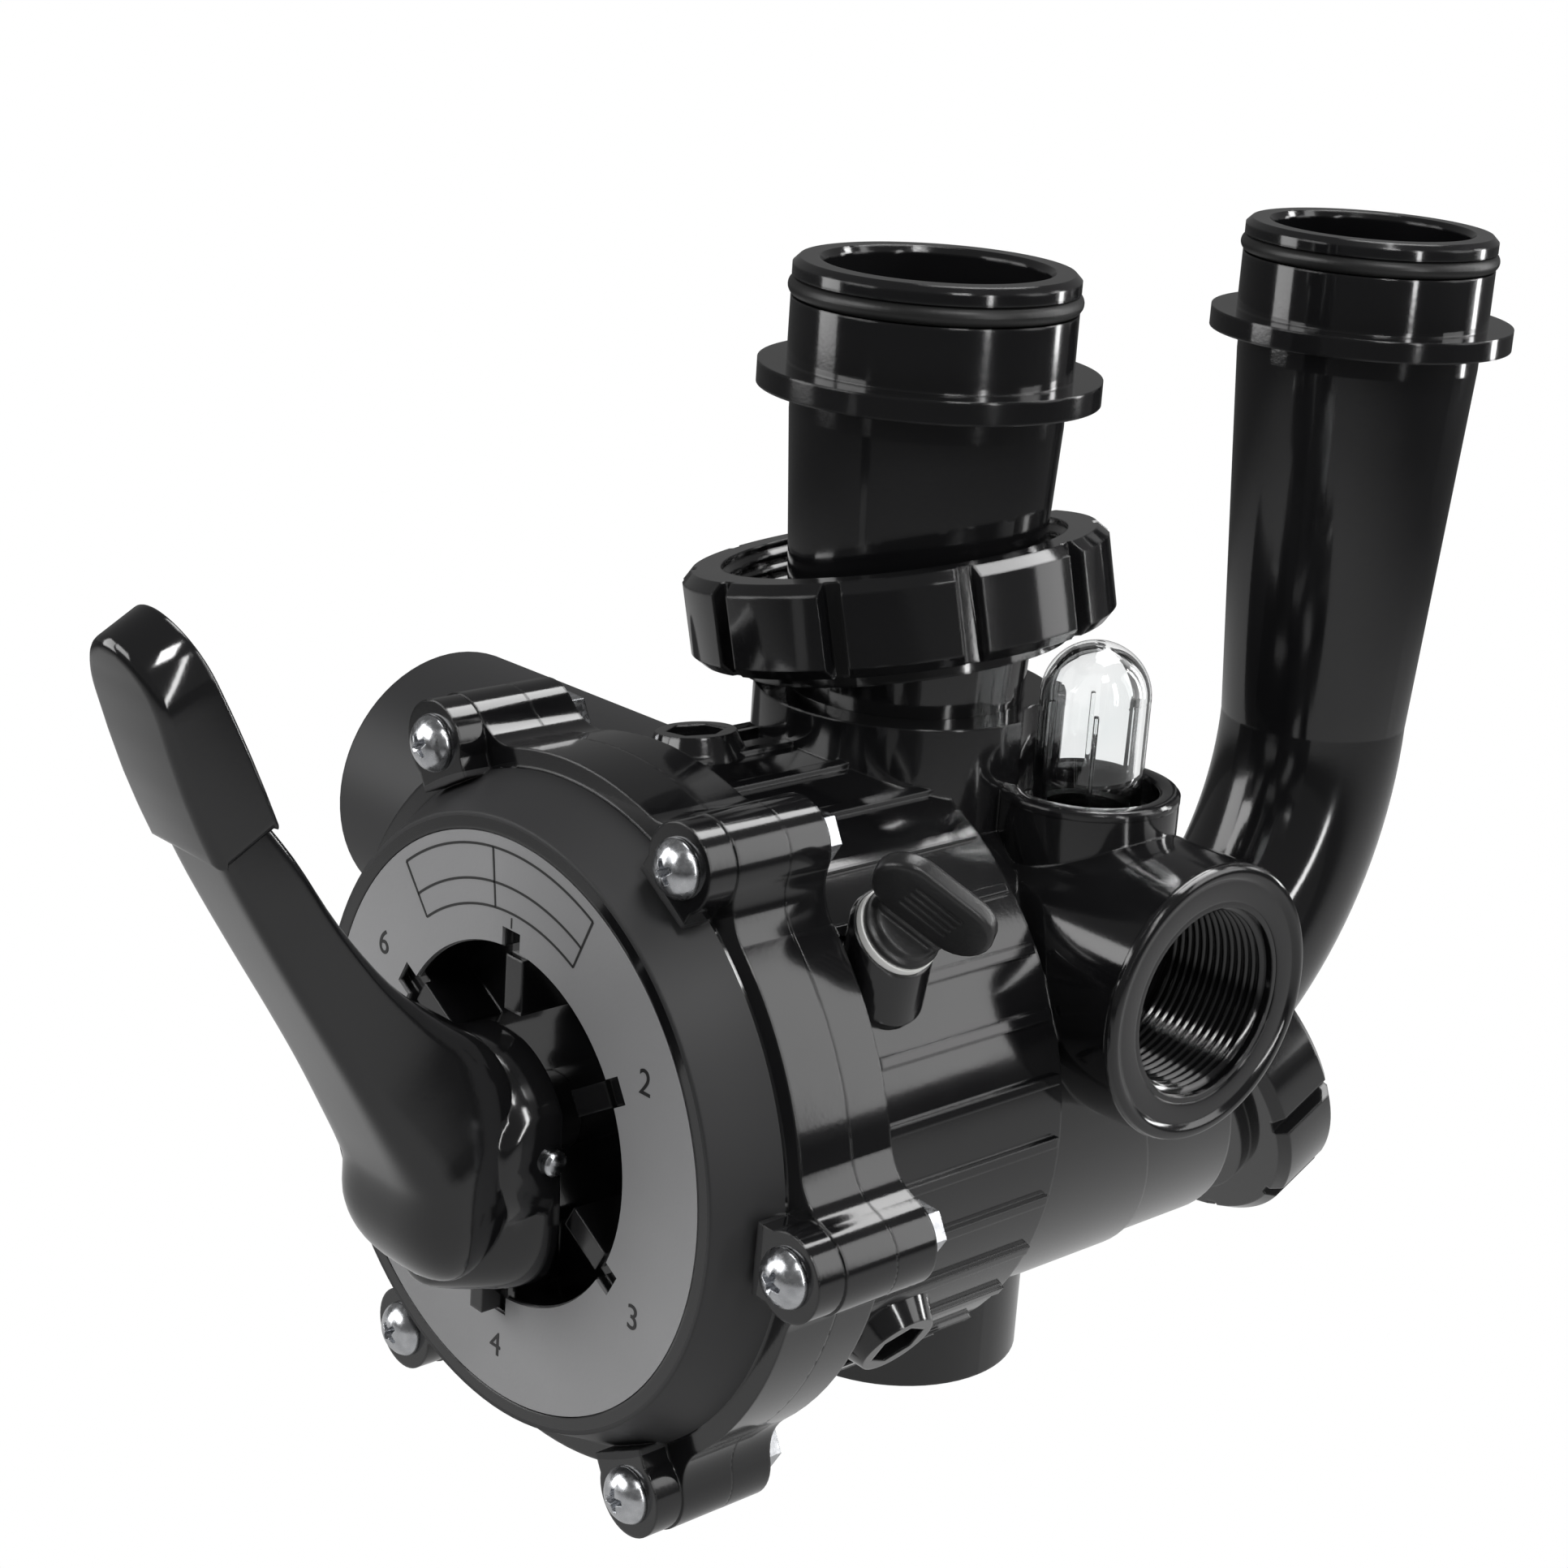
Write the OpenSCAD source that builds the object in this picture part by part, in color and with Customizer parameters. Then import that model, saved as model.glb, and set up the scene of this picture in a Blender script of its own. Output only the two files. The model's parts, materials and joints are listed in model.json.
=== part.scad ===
// Side-mount six-position valve for a pool filter, with its two filter connectors.
// Millimetres. The origin is the centre of the bottom port's mouth, +Z up.
// The selector axis runs along Y, with the dial facing -Y and the waste port along +X.
// Inside each module y counts back from the dial's face and z counts up from the selector axis.

/* [Layout] */
// Height of the selector axis above the mouth of the bottom port
axis_height = 90; // [86:1:110]
// Distance from the dial's face back to the bottom port
port_setback = 129; // [125:1:140]
// Distance from the dial's face to the joint between cover and body
split_y = 29.5; // [28:0.5:34]
// Gap left around pieces that turn or slide by hand
hand_gap = 0.3; // [0.2:0.05:0.4]
// Radial gap of a shaft in its bore
running_gap = 0.05; // [0.03:0.01:0.09]

/* [Cover and body flange] */
// Radius of the flange ring
flange_r = 83.5; // [81:0.5:86]
// Thickness of the body's flange
body_flange_t = 11.5; // [8:0.5:14]
// Number of flange lugs
lug_count = 6; // [5:1:8]
// Radius of the circle of flange screws
lug_circle_r = 87.6; // [86:0.2:92]
// Radius of a lug
lug_r = 10.5; // [9.5:0.5:12]
// Fillet between a lug and the ring
lug_fillet_r = 12; // [8:1:16]
// Angle of the first lug, from the waste port upwards
first_lug_angle = 58; // [50:1:70]
// Distance from the dial's face to the seats of the screw heads
lug_seat_y = 7.5; // [6:0.5:10]
// Radius of the dark rim around the dial
rim_r = 71.5; // [70:0.5:74]
// Outer radius of the cone behind the rim
cone_r = 79; // [76:0.5:80]
// Depth of the cone
cone_depth = 15; // [12:0.5:18]
// Wall of the cover
cover_wall = 5; // [4:0.5:6]

/* [Dial and well] */
// Outer radius of the dial plate
dial_r = 67.3; // [64:0.5:69]
// Radius of the well inside the dial
well_r = 42; // [40:0.5:45]
// Thickness of the dial plate
dial_t = 0.8; // [0.6:0.1:1.5]
// Depth of the well's floor
well_depth = 15; // [13:0.5:17]
// Thickness of the well's floor
well_floor_t = 5; // [4:0.5:6]
// How far a position notch reaches outside the well
notch_depth = 4.5; // [3:0.5:6]
// Width of a position notch
notch_w = 6; // [4:0.5:9]
// Number of valve positions
position_count = 6; // [6:1:6]
// Width of a stop rib in the well
stop_rib_w = 6; // [4:0.5:8]

/* [Screws] */
// Shank radius of the flange screws
screw_r = 3; // [2.5:0.1:3.5]
// Head radius of the flange screws
screw_head_r = 6.8; // [6:0.1:8]
// Head height of the flange screws
screw_head_h = 4.6; // [3.5:0.1:5.5]
// Nut size across flats
nut_flats = 11; // [10:0.5:13]
// Nut thickness
nut_t = 7; // [5:0.5:8]
// Length of screw that stands out of the nut
screw_tail = 1.5; // [1:0.5:4]

/* [Selector] */
// Radius of the stem
stem_r = 9; // [8:0.5:10]
// Radius of the key's plate
key_r = 63; // [58:1:64]
// Distance from the dial's face to the key's sealing face
key_seat_y = 54; // [50:1:60]
// Thickness of the key's plate
key_plate_t = 6; // [4:0.5:8]
// Length of the guide bush under the cover
bush_depth = 12; // [10:1:14]
// Wall of the guide bush
bush_wall = 5; // [4:0.5:7]
// Section radius of the stem's O-rings
stem_ring_r = 1; // [0.8:0.1:1.2]
// Section radius of the spring wire
spring_wire_r = 1.6; // [1:0.1:2]
// Mean radius of the spring
spring_r = 20; // [18:0.5:24]
// Turns of the spring
spring_turns = 3; // [2:1:4]
// Thickness of the spring's washer
washer_t = 1.2; // [0.8:0.1:2]
// Thickness of the spider gasket
gasket_t = 3; // [2:0.5:4]

/* [Handle] */
// Distance from the dial's face out to the handle's pin
pin_out = 3; // [2:0.5:6]
// Radius of the handle's pin
pin_r = 3; // [2.5:0.1:3.5]
// Length of the handle's pin
pin_length = 46; // [44:1:52]
// Width of the handle at its hub
hub_w = 43; // [40:1:44]
// Width of the handle's arm
arm_w = 23; // [20:1:26]
// Width of the grip
grip_w = 27; // [24:1:31]
// Reach of the arm along its own slope
arm_reach = 146; // [138:1:152]
// Length of the grip
grip_length = 50; // [44:1:56]
// Thickness of the grip
grip_t = 16; // [14:0.5:18]
// Slope of the arm out from the dial
arm_slope = 30; // [27:1:33]

/* [Ports] */
// Radius of the threaded port bores, for 1-1/2 inch pipe thread
port_bore_r = 23; // [22:0.1:24]
// Depth of the port bores
port_depth = 32; // [26:1:36]
// Outer radius of the waste port
waste_r = 33.5; // [31:0.5:36]
// Reach of the waste port from the selector axis
waste_reach = 88; // [85:1:100]
// Distance from the dial's face to the waste port
waste_y = 134; // [132:1:138]
// Height of the waste port over the selector axis
waste_z = 30; // [26:1:33]
// Outer radius of the bottom port
bottom_r = 32.5; // [30:0.5:34]
// Outer radius of the side port at its mouth
side_r = 38.5; // [36:0.5:40]
// Reach of the side port from the selector axis
side_reach = 193; // [170:1:210]
// Distance from the dial's face to the side port
side_y = 124; // [122:1:128]
// Height of the side port over the selector axis
side_z = 5; // [0:1:8]
// Bore of the side port, a push-in socket
side_bore_r = 30; // [28:0.5:32]
// Outer radius of the top port's neck
neck_r = 36.5; // [35:0.5:38]
// Distance from the dial's face to the top port
neck_y = 116; // [112:1:118]
// Height of the neck's mouth over the selector axis
neck_top = 86; // [84:1:92]

/* [Body] */
// Radius of the ribbed barrel
barrel_r = 76.5; // [74:0.5:78]
// Distance from the dial's face to the barrel's rear edge
barrel_end = 101; // [98:1:104]
// Number of places for ribs around the barrel
rib_pitch_count = 32; // [24:1:36]
// Width of a rib
rib_w = 2.6; // [2:0.2:4]
// Height of a rib
rib_h = 1.4; // [1:0.1:2]
// Radius of the rear barrel
rear_r = 71.5; // [68:0.5:73]
// Forward lean of the rear barrel's end faces
rear_lean = 24; // [18:1:28]

/* [Sight glass] */
// Outer radius of the glass
glass_r = 13; // [12:0.5:14]
// Height of the glass over its gasket
glass_h = 49; // [44:0.5:49.5]
// Outer radius of the socket
socket_r = 22; // [20:0.5:24]
// Distance from the selector axis out to the socket
socket_x = 45; // [42:1:48]
// Height of the socket's mouth over the selector axis
socket_top = 70; // [69:1:76]

/* [Plug] */
// Radius of the plug's head
plug_r = 8; // [7.5:0.5:10]
// Length of the plug's wing
wing_length = 30; // [26:1:34]
// Height of the plug's wing
wing_h = 16; // [12:1:18]
// Thickness of the plug's wing
wing_t = 5; // [4:0.5:6]

/* [Connectors] */
// Outer radius of the O-ring end
spigot_r = 33.5; // [32:0.5:35]
// Inner radius of the pipes
pipe_bore_r = 26.5; // [24:0.5:27]
// Outer radius of the elbow's bend
elbow_r = 25.5; // [24.5:0.5:27]
// Wall of the pipes
pipe_wall = 4; // [3:0.5:4.5]
// Radius of the stop flange
stop_r = 40.3; // [39:0.1:42]
// Thickness of the stop flange
stop_t = 5.5; // [5:0.5:7]
// Distance from a connector's tip to its stop flange
stop_drop = 24; // [22:1:28]
// Height of the connector tips over the selector axis
tip_height = 187; // [182:1:200]
// Distance between the two connectors
connector_pitch = 168; // [166:1:174]
// Section radius of the O-rings
tip_ring_r = 2.4; // [2:0.1:3]
// Radius of the elbow's bend
bend_r = 92; // [88:1:96]
// Angle of the elbow's bend
bend_angle = 90; // [80:5:90]
// Height at which the bend starts, over the selector axis
bend_top = 51; // [49:1:58]

/* [Union nuts] */
// Radius over the nut's lugs
nut_lug_r = 51; // [50:0.5:55]
// Height of a union nut's lugs
union_h = 22; // [20:1:24]
// Height of the collar under the lugs
nut_collar_h = 4; // [2:0.5:6]
// Radius of the collar under the lugs
nut_collar_r = 39; // [38:0.5:45]
// Number of lugs on a union nut
nut_lug_count = 10; // [6:1:10]
// Radius of the nut's threaded mouth
nut_mouth_r = 41.5; // [41:0.5:44]
// Radius of the hole in the nut's lip
nut_hole_r = 34.5; // [33:0.5:36]

/* [Hidden] */

black = [0.055, 0.056, 0.06];
grey = [0.55, 0.56, 0.57];
steel = [0.75, 0.76, 0.78];
rubber = [0.03, 0.03, 0.032];

EPS = 0.01;

// ---- placing helpers -------------------------------------------------------------------------

// Puts the selector axis and the dial's face where the origin asks for them.
module valve_frame() translate([0, -port_setback, axis_height]) children();

// A solid built along +Z is laid back along +Y.
module lay_back(y = 0) translate([0, y, 0]) rotate([-90, 0, 0]) children();

// A drum on the selector axis from y0 back to y1.
module drum(r, y0, y1) lay_back(y0) cylinder(r = r, h = y1 - y0, $fn = 160);

// A pipe's solid along +X from x0 to x1.
module along_x(r, x0, x1) translate([x0, 0, 0]) rotate([0, 90, 0]) cylinder(r = r, h = x1 - x0, $fn = 96);

// Copies at each lug's centre.
module at_lugs()
    for (i = [0 : lug_count - 1])
        rotate([0, -(first_lug_angle - i * 360 / lug_count), 0]) translate([lug_circle_r, 0, 0]) children();

// Copies at each position of the handle.
module at_positions()
    for (i = [0 : position_count - 1]) rotate([0, -(90 - i * 360 / position_count), 0]) children();

// ---- shared outlines -------------------------------------------------------------------------

// Centre of the fillet between the ring and a lug, on one side. The fillet bites in by a hair,
// so that the arcs cross and don't just touch.
bite = 0.01;
function fillet_centre(side) =
    let (a = flange_r + lug_fillet_r - bite, b = lug_r + lug_fillet_r - bite, c = lug_circle_r,
         x = (a * a + c * c - b * b) / (2 * c))
    [x, side * sqrt(a * a - x * x)];

// The flange's outline: a ring with filleted lugs.
module flange_outline(ring_r) {
    circle(r = ring_r, $fn = 180);
    for (i = [0 : lug_count - 1]) rotate(-(first_lug_angle - i * 360 / lug_count)) {
        translate([lug_circle_r, 0]) circle(r = lug_r, $fn = 48);
        difference() {
            polygon([[0, 0], fillet_centre(1), [lug_circle_r, 0], fillet_centre(-1)]);
            for (side = [-1, 1]) translate(fillet_centre(side)) circle(r = lug_fillet_r, $fn = 64);
        }
    }
}

// ---- valve body ------------------------------------------------------------------------------

bowl_r = key_r + 2.5;
bowl_floor_y = key_seat_y + gasket_t;
rear_end = 158;
rear_axis_z = -7.5;
bead_h = 1.2;
side_root_r = side_r + 1.5;
elbow_y = neck_y + connector_pitch;
elbow_x = -6;

// Everything in front of a leaning plane through the selector axis at y.
module before_lean(y, z = 0)
    translate([0, y, z]) rotate([rear_lean, 0, 0]) translate([-200, -400, -250]) cube([400, 400, 500]);

// Foot of the elbow: the pipe's end and its direction into the body.
elbow_end = [elbow_x, elbow_y - bend_r * (1 - cos(bend_angle)), bend_top - bend_r * sin(bend_angle)];
foot_length = 38;
foot_start = 4;
foot_r = 28.5;
elbow_foot_r = elbow_r + 0.5;
socket_gap = 0.05;
cone_top_r = 32.2;
short_foot = neck_top - 30;
ring_proud = 0.8;
groove_drop = 4.2;
// Pipes overlap the bend by a little, a hair wider than it.
lap = 0.4;
step = 0.03;
rear_neck_r = elbow_foot_r + 2.5;
// Clearance round the nuts behind the lugs.
nut_room = 0.8;

// Moves to the elbow's foot, with +Z running up the pipe towards the bend.
module at_elbow_foot(s = 0)
    translate(elbow_end) rotate([-bend_angle, 0, 0]) translate([0, 0, -s]) children();

module ribs() {
    ring = rib_pitch_count;
    for (i = [0 : ring - 1]) rotate([0, i * 360 / ring, 0])
        translate([barrel_r - 2, 46, -rib_w / 2]) cube([2 + rib_h, barrel_end - 46 - 2, rib_w]);
}

plug_angle = 41;
plug_lean = 42;
plug_y = 54;
plug_seat = barrel_r + 9.5;
plug_bore_r = 6;
plug_drop = 12;
plug_ring_t = 1.8;

// Angle round the barrel and distance back of each blind boss.
blind_bosses = [[97, 59], [-33, 62]];
module at_blind_boss(place) rotate([0, 90 - place[0], 0]) translate([0, place[1], 0]) children();

// Moves to the plug's seat, with +Z along the plug's own axis.
module at_plug() translate([plug_seat * cos(plug_angle), plug_y, plug_seat * sin(plug_angle)])
    rotate([0, 90 - plug_lean, 0]) children();

glass_seat = socket_top - 16;
glass_collar_r = glass_r + 3.8;
socket_wall_r = socket_r - 4.8;

module body_outside() {
    drum(barrel_r, split_y, barrel_end);
    lay_back(split_y) linear_extrude(height = body_flange_t) flange_outline(flange_r);
    ribs();
    intersection() {
        drum(rear_r, barrel_end - 20, 220);
        before_lean(rear_end - 24);
    }
    intersection() {
        drum(rear_r - 1.6, barrel_end - 20, 220);
        before_lean(rear_end);
    }
    intersection() {
        drum(rear_r - bead_h, barrel_end - 20, 240);
        before_lean(rear_end + 8);
    }
    // neck of the top port
    translate([0, neck_y, 0]) cylinder(r = neck_r, h = neck_top, $fn = 128);
    // bottom port
    translate([0, port_setback, -axis_height]) cylinder(r = bottom_r, h = axis_height, $fn = 128);
    // waste port
    translate([0, waste_y, waste_z]) along_x(waste_r, 0, waste_reach);
    // side port, slightly tapered
    translate([-side_reach, side_y, side_z]) rotate([0, 90, 0])
        cylinder(r1 = side_r, r2 = side_root_r, h = side_reach, $fn = 128);
    // sight glass socket
    translate([socket_x, waste_y, waste_z]) cylinder(r = socket_r, h = socket_top - waste_z, $fn = 96);
    // rear port, flush with the underside of the barrel
    at_elbow_foot(foot_length + 6) cylinder(r = rear_neck_r, h = foot_length + 6 - foot_start, $fn = 128);
    // blind bosses, each with a hexagon recess
    for (place = blind_bosses) at_blind_boss(place)
        translate([0, 0, barrel_r - 6]) cylinder(r1 = 14.5, r2 = 9.5, h = 11, $fn = 64);
    // plug boss
    hull() {
        at_plug() translate([0, 0, -2]) cylinder(r = plug_r + 2.6, h = 2, $fn = 64);
        translate([-2, 0, -12]) at_plug() translate([0, 0, -2]) cylinder(r = plug_r + 2.6, h = 2, $fn = 64);
    }
}

module valve_body() color(black) valve_frame() difference() {
    body_outside();
    // bowl for the key
    drum(bowl_r, split_y - 1, bowl_floor_y);
    // seat groove of the cover's seal
    lay_back(split_y - EPS) difference() {
        cylinder(r = bowl_r + 5.2, h = 2.6, $fn = 160);
        translate([0, 0, -1]) cylinder(r = bowl_r + 2, h = 6, $fn = 160);
    }
    // passages behind the key
    drum(24, bowl_floor_y - 1, 150);
    // ports
    translate([0, waste_y, waste_z]) along_x(port_bore_r, waste_reach - port_depth, waste_reach + 1);
    translate([0, waste_y, waste_z]) along_x(port_bore_r - 3.5, 20, waste_reach);
    translate([0, port_setback, -axis_height - 1]) cylinder(r = port_bore_r, h = port_depth + 1, $fn = 96);
    translate([0, port_setback, -axis_height]) cylinder(r = port_bore_r - 3.5, h = 80, $fn = 96);
    translate([0, side_y, side_z]) along_x(side_bore_r, -side_reach - 1, -side_reach + 45);
    translate([0, side_y, side_z]) along_x(side_bore_r - 4, -side_reach, -20);
    // top port socket
    translate([0, neck_y, short_foot]) cylinder(r = foot_r + socket_gap, h = 50, $fn = 96);
    translate([0, neck_y, 10]) cylinder(r = 22, h = neck_top, $fn = 96);
    // rear port socket
    at_elbow_foot(foot_length) cylinder(r = elbow_foot_r + socket_gap, h = foot_length + 8, $fn = 128);
    at_elbow_foot(foot_length + 30) cylinder(r = 20, h = 60, $fn = 96);
    // sight glass socket
    translate([socket_x, waste_y, glass_seat]) cylinder(r = socket_wall_r, h = 40, $fn = 96);
    translate([socket_x, waste_y, waste_z]) cylinder(r = glass_r - 4, h = 40, $fn = 64);
    // plug hole
    at_plug() translate([0, 0, -30]) cylinder(r = plug_bore_r + running_gap, h = 40, $fn = 64);
    for (place = blind_bosses) at_blind_boss(place)
        translate([0, 0, barrel_r + 0.5]) cylinder(r = 7, h = 10, $fn = 6);
    // room behind the lugs for the nuts
    at_lugs() lay_back(body_lug_back + 0.05) cylinder(r = nut_flats / 2 / cos(30) + nut_room,
        h = nut_t + screw_tail + 3, $fn = 48);
    // screw holes
    at_lugs() lay_back(split_y - 1) cylinder(r = screw_r + 0.4, h = 60, $fn = 32);
}

// ---- connectors ------------------------------------------------------------------------------

// The pipe end that goes into the filter: lip, O-ring groove, barrel and stop flange.
// It points up, with its tip at the origin.
groove_bottom = spigot_r - 2 * tip_ring_r + ring_proud;
groove_w = 2 * tip_ring_r;
spigot_h = stop_drop + stop_t + 6;

module spigot_profile() rotate_extrude($fn = 96) difference() {
    polygon([[0, -spigot_h], [0, 0], [spigot_r - 1.5, 0], [spigot_r, -1.5],
             [spigot_r, -groove_drop], [groove_bottom, -groove_drop],
             [groove_bottom, -groove_drop - groove_w], [spigot_r, -groove_drop - groove_w],
             [spigot_r, -stop_drop], [stop_r, -stop_drop], [stop_r, -stop_drop - stop_t],
             [cone_top_r, -stop_drop - stop_t], [cone_top_r, -spigot_h]]);
    polygon([[-1, -100], [pipe_bore_r, -100], [pipe_bore_r, -1.5], [pipe_bore_r + 1.5, 1], [-1, 1]]);
}

// O-ring of a connector's tip.
module tip_ring() translate([0, 0, -groove_drop - tip_ring_r]) rotate_extrude($fn = 96)
    translate([groove_bottom + tip_ring_r, 0]) circle(r = tip_ring_r - EPS, $fn = 32);

module short_connector() color(black) valve_frame() {
    h = tip_height - spigot_h - short_foot;
    translate([0, neck_y, tip_height]) spigot_profile();
    translate([0, neck_y, short_foot]) rotate_extrude($fn = 96) difference() {
        polygon([[0, 0], [foot_r, 0], [foot_r, neck_top - short_foot], [cone_top_r, h],
                 [cone_top_r, h + lap], [0, h + lap]]);
        polygon([[-1, -1], [foot_r - pipe_wall, -1], [foot_r - pipe_wall, 10], [pipe_bore_r, h],
                 [pipe_bore_r, h + 1], [-1, h + 1]]);
    }
}

module short_connector_o_ring() color(rubber) valve_frame()
    translate([0, neck_y, tip_height]) tip_ring();

// The bend of the elbow, swept from the vertical pipe down to the foot.
module bend(r)
    translate([elbow_x, elbow_y - bend_r, bend_top]) rotate([90, 0, 90]) rotate([0, 0, -bend_angle])
        rotate_extrude(angle = bend_angle, $fn = 96) translate([bend_r, 0]) circle(r = r, $fn = 48);

// The upright of the elbow, wider at the top.
module elbow_upright(low_r, top_r, over = 0) translate([elbow_x, elbow_y, bend_top - lap])
    cylinder(r1 = low_r + step, r2 = top_r, h = tip_height - spigot_h - bend_top + lap + over, $fn = 96);

module elbow_connector() color(black) valve_frame() {
    translate([elbow_x, elbow_y, tip_height]) spigot_profile();
    difference() {
        union() {
            elbow_upright(elbow_r, cone_top_r);
            bend(elbow_r);
            at_elbow_foot(foot_length) rotate_extrude($fn = 96)
                polygon([[0, 0], [elbow_foot_r, 0], [elbow_foot_r, foot_length - foot_start],
                         [elbow_r + step, foot_length - foot_start + 2], [elbow_r + step, foot_length + lap],
                         [0, foot_length + lap]]);
        }
        elbow_upright(elbow_r - pipe_wall, pipe_bore_r);
        translate([elbow_x, elbow_y, tip_height - spigot_h - EPS]) cylinder(r = pipe_bore_r, h = 50, $fn = 96);
        bend(elbow_r - pipe_wall);
        at_elbow_foot(foot_length + 1)
            cylinder(r = elbow_r - pipe_wall + step, h = foot_length + 1 + lap, $fn = 96);
    }
}

module elbow_o_ring() color(rubber) valve_frame() translate([elbow_x, elbow_y, tip_height]) tip_ring();

// ---- union nuts ------------------------------------------------------------------------------

// A lugged nut on +Z: its lip at the bottom, its threaded mouth at the top, centred on its lugs.
module union_nut() {
    lug_w = 26;
    root_r = nut_lug_r - 3.6;
    chamfer = 2.5;
    translate([0, 0, -union_h / 2]) difference() {
        union() {
            cylinder(r = root_r, h = union_h, $fn = 160);
            translate([0, 0, -nut_collar_h]) cylinder(r = nut_collar_r, h = nut_collar_h + 1, $fn = 160);
            intersection() {
                union() for (i = [0 : nut_lug_count - 1]) rotate((i + 0.5) * 360 / nut_lug_count)
                    translate([0, -lug_w / 2, 0]) cube([nut_lug_r + 1, lug_w, union_h]);
                rotate_extrude($fn = 160) polygon([[0, 0], [nut_lug_r - chamfer, 0], [nut_lug_r, chamfer],
                    [nut_lug_r, union_h - chamfer], [nut_lug_r - chamfer, union_h], [0, union_h]]);
            }
        }
        translate([0, 0, 2]) cylinder(r = nut_mouth_r, h = union_h, $fn = 160);
        translate([0, 0, -nut_collar_h - 1]) cylinder(r = nut_hole_r, h = 2 * union_h, $fn = 160);
    }
}

// The upper nut has dropped onto the front rim of the neck and leans forward over it.
upper_tilt = 12;
upper_turn = 70;
upper_back = 37;
upper_spin = 9.5;
module at_upper_nut() translate([0, neck_y, neck_top]) rotate([0, 0, -upper_turn]) translate([0, -neck_r, 0])
    rotate([upper_tilt, 0, 0]) translate([0, upper_back, union_h / 2 + nut_collar_h + hand_gap]) children();
module upper_union_nut() color(black) valve_frame() at_upper_nut() rotate(upper_spin) union_nut();

// The lower nut hangs on the elbow's bend.
lower_at = 64;
module at_bend(a) translate([elbow_x, elbow_y - bend_r * (1 - cos(a)), bend_top - bend_r * sin(a)])
    rotate([-a, 0, 0]) children();
bend_inner = bend_r - elbow_r;
lip_drop = union_h / 2 + nut_collar_h;
lower_hang = bend_inner - sqrt(bend_inner * bend_inner - lip_drop * lip_drop);
module at_lower_nut() at_bend(lower_at)
    translate([0, nut_hole_r - elbow_r - lower_hang - hand_gap, 0]) children();
module lower_union_nut() color(black) valve_frame() at_lower_nut() union_nut();

// ---- cover -----------------------------------------------------------------------------------

bush_r = stem_r + bush_wall;
under_y = well_depth + well_floor_t;

module cover() color(black) valve_frame() difference() {
    union() {
        // well, dial seat, rim and cone
        lay_back(0) rotate_extrude($fn = 180) polygon([[stem_r + running_gap, well_depth],
            [well_r, well_depth], [well_r, dial_t], [dial_r + hand_gap, dial_t], [dial_r + hand_gap, 0],
            [rim_r, 0], [cone_r, cone_depth], [cone_r, cone_depth + 2], [bowl_r + 0.5, cone_depth + cover_wall],
            [rim_r - cover_wall - 1, dial_t + cover_wall], [well_r + cover_wall, dial_t + cover_wall],
            [well_r + cover_wall, under_y], [bush_r, under_y],
            [bush_r, well_depth + bush_depth], [stem_r + running_gap, well_depth + bush_depth]]);
        // flange
        lay_back(cone_depth) linear_extrude(height = split_y - cone_depth) difference() {
            flange_outline(flange_r);
            circle(r = bowl_r + 0.5, $fn = 180);
        }
        // lugs stand forward to the screw heads
        at_lugs() lay_back(lug_seat_y) cylinder(r = lug_r - 0.4, h = cone_depth - lug_seat_y + 1, $fn = 48);
        at_lugs() translate([-10, lug_seat_y, -lug_r + 2]) cube([10, cone_depth - lug_seat_y + 1, 2 * lug_r - 4]);
        // stop ribs in the well
        at_positions() translate([27, 1.2, -stop_rib_w / 2])
            cube([well_r - 27 + 0.5, well_depth - 1, stop_rib_w]);
    }
    // position notches in the dial's inner edge
    at_positions() translate([well_r - 2, -1, -notch_w / 2]) cube([notch_depth + 2, 1 + dial_t + 2, notch_w]);
    at_lugs() lay_back(-1) cylinder(r = screw_r + 0.4, h = 60, $fn = 32);
}

module cover_o_ring() color(rubber) valve_frame()
    lay_back(split_y + 1.3) rotate_extrude($fn = 180)
        translate([bowl_r + 3.6, 0]) circle(r = 1.29, $fn = 24);

// Dial ring with a notch at every position.
module dial_plate() color(grey) valve_frame() difference() {
    lay_back(0) difference() {
        cylinder(r = dial_r, h = dial_t, $fn = 180);
        translate([0, 0, -1]) cylinder(r = well_r + 0.4, h = 5, $fn = 160);
    }
    at_positions() translate([well_r - 2, -1, -notch_w / 2 - 0.2]) cube([notch_depth + 2.2, 5, notch_w + 0.4]);
}

// ---- fasteners -------------------------------------------------------------------------------

body_lug_back = split_y + body_flange_t;

module flange_screws() color(steel) valve_frame() at_lugs() difference() {
    union() {
        lay_back(lug_seat_y - screw_head_h) rotate_extrude($fn = 48)
            polygon([[0, 0], [screw_head_r - 2.6, 0.4], [screw_head_r - 0.7, 1.7], [screw_head_r, 3.2],
                     [screw_head_r, screw_head_h], [0, screw_head_h]]);
        lay_back(lug_seat_y - 1) cylinder(r = screw_r, h = body_lug_back + nut_t + screw_tail - lug_seat_y + 1, $fn = 32);
    }
    lay_back(lug_seat_y - screw_head_h - 1) for (a = [45, 135]) rotate(a)
        translate([-3.6, -0.7, 0]) cube([7.2, 1.4, 3.2]);
}

module flange_nuts() color(steel) valve_frame() at_lugs() lay_back(body_lug_back) difference() {
    cylinder(r = nut_flats / 2 / cos(30), h = nut_t, $fn = 6);
    translate([0, 0, -1]) cylinder(r = screw_r + running_gap, h = nut_t + 2, $fn = 32);
}

// ---- selector --------------------------------------------------------------------------------

key_back = key_seat_y - 0.1;
key_front = key_back - key_plate_t;
spring_free = 14;
hub_front = under_y + washer_t + 0.1 + spring_free;
groove_y = [well_depth + 2.6, well_depth + 7.2];

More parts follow.
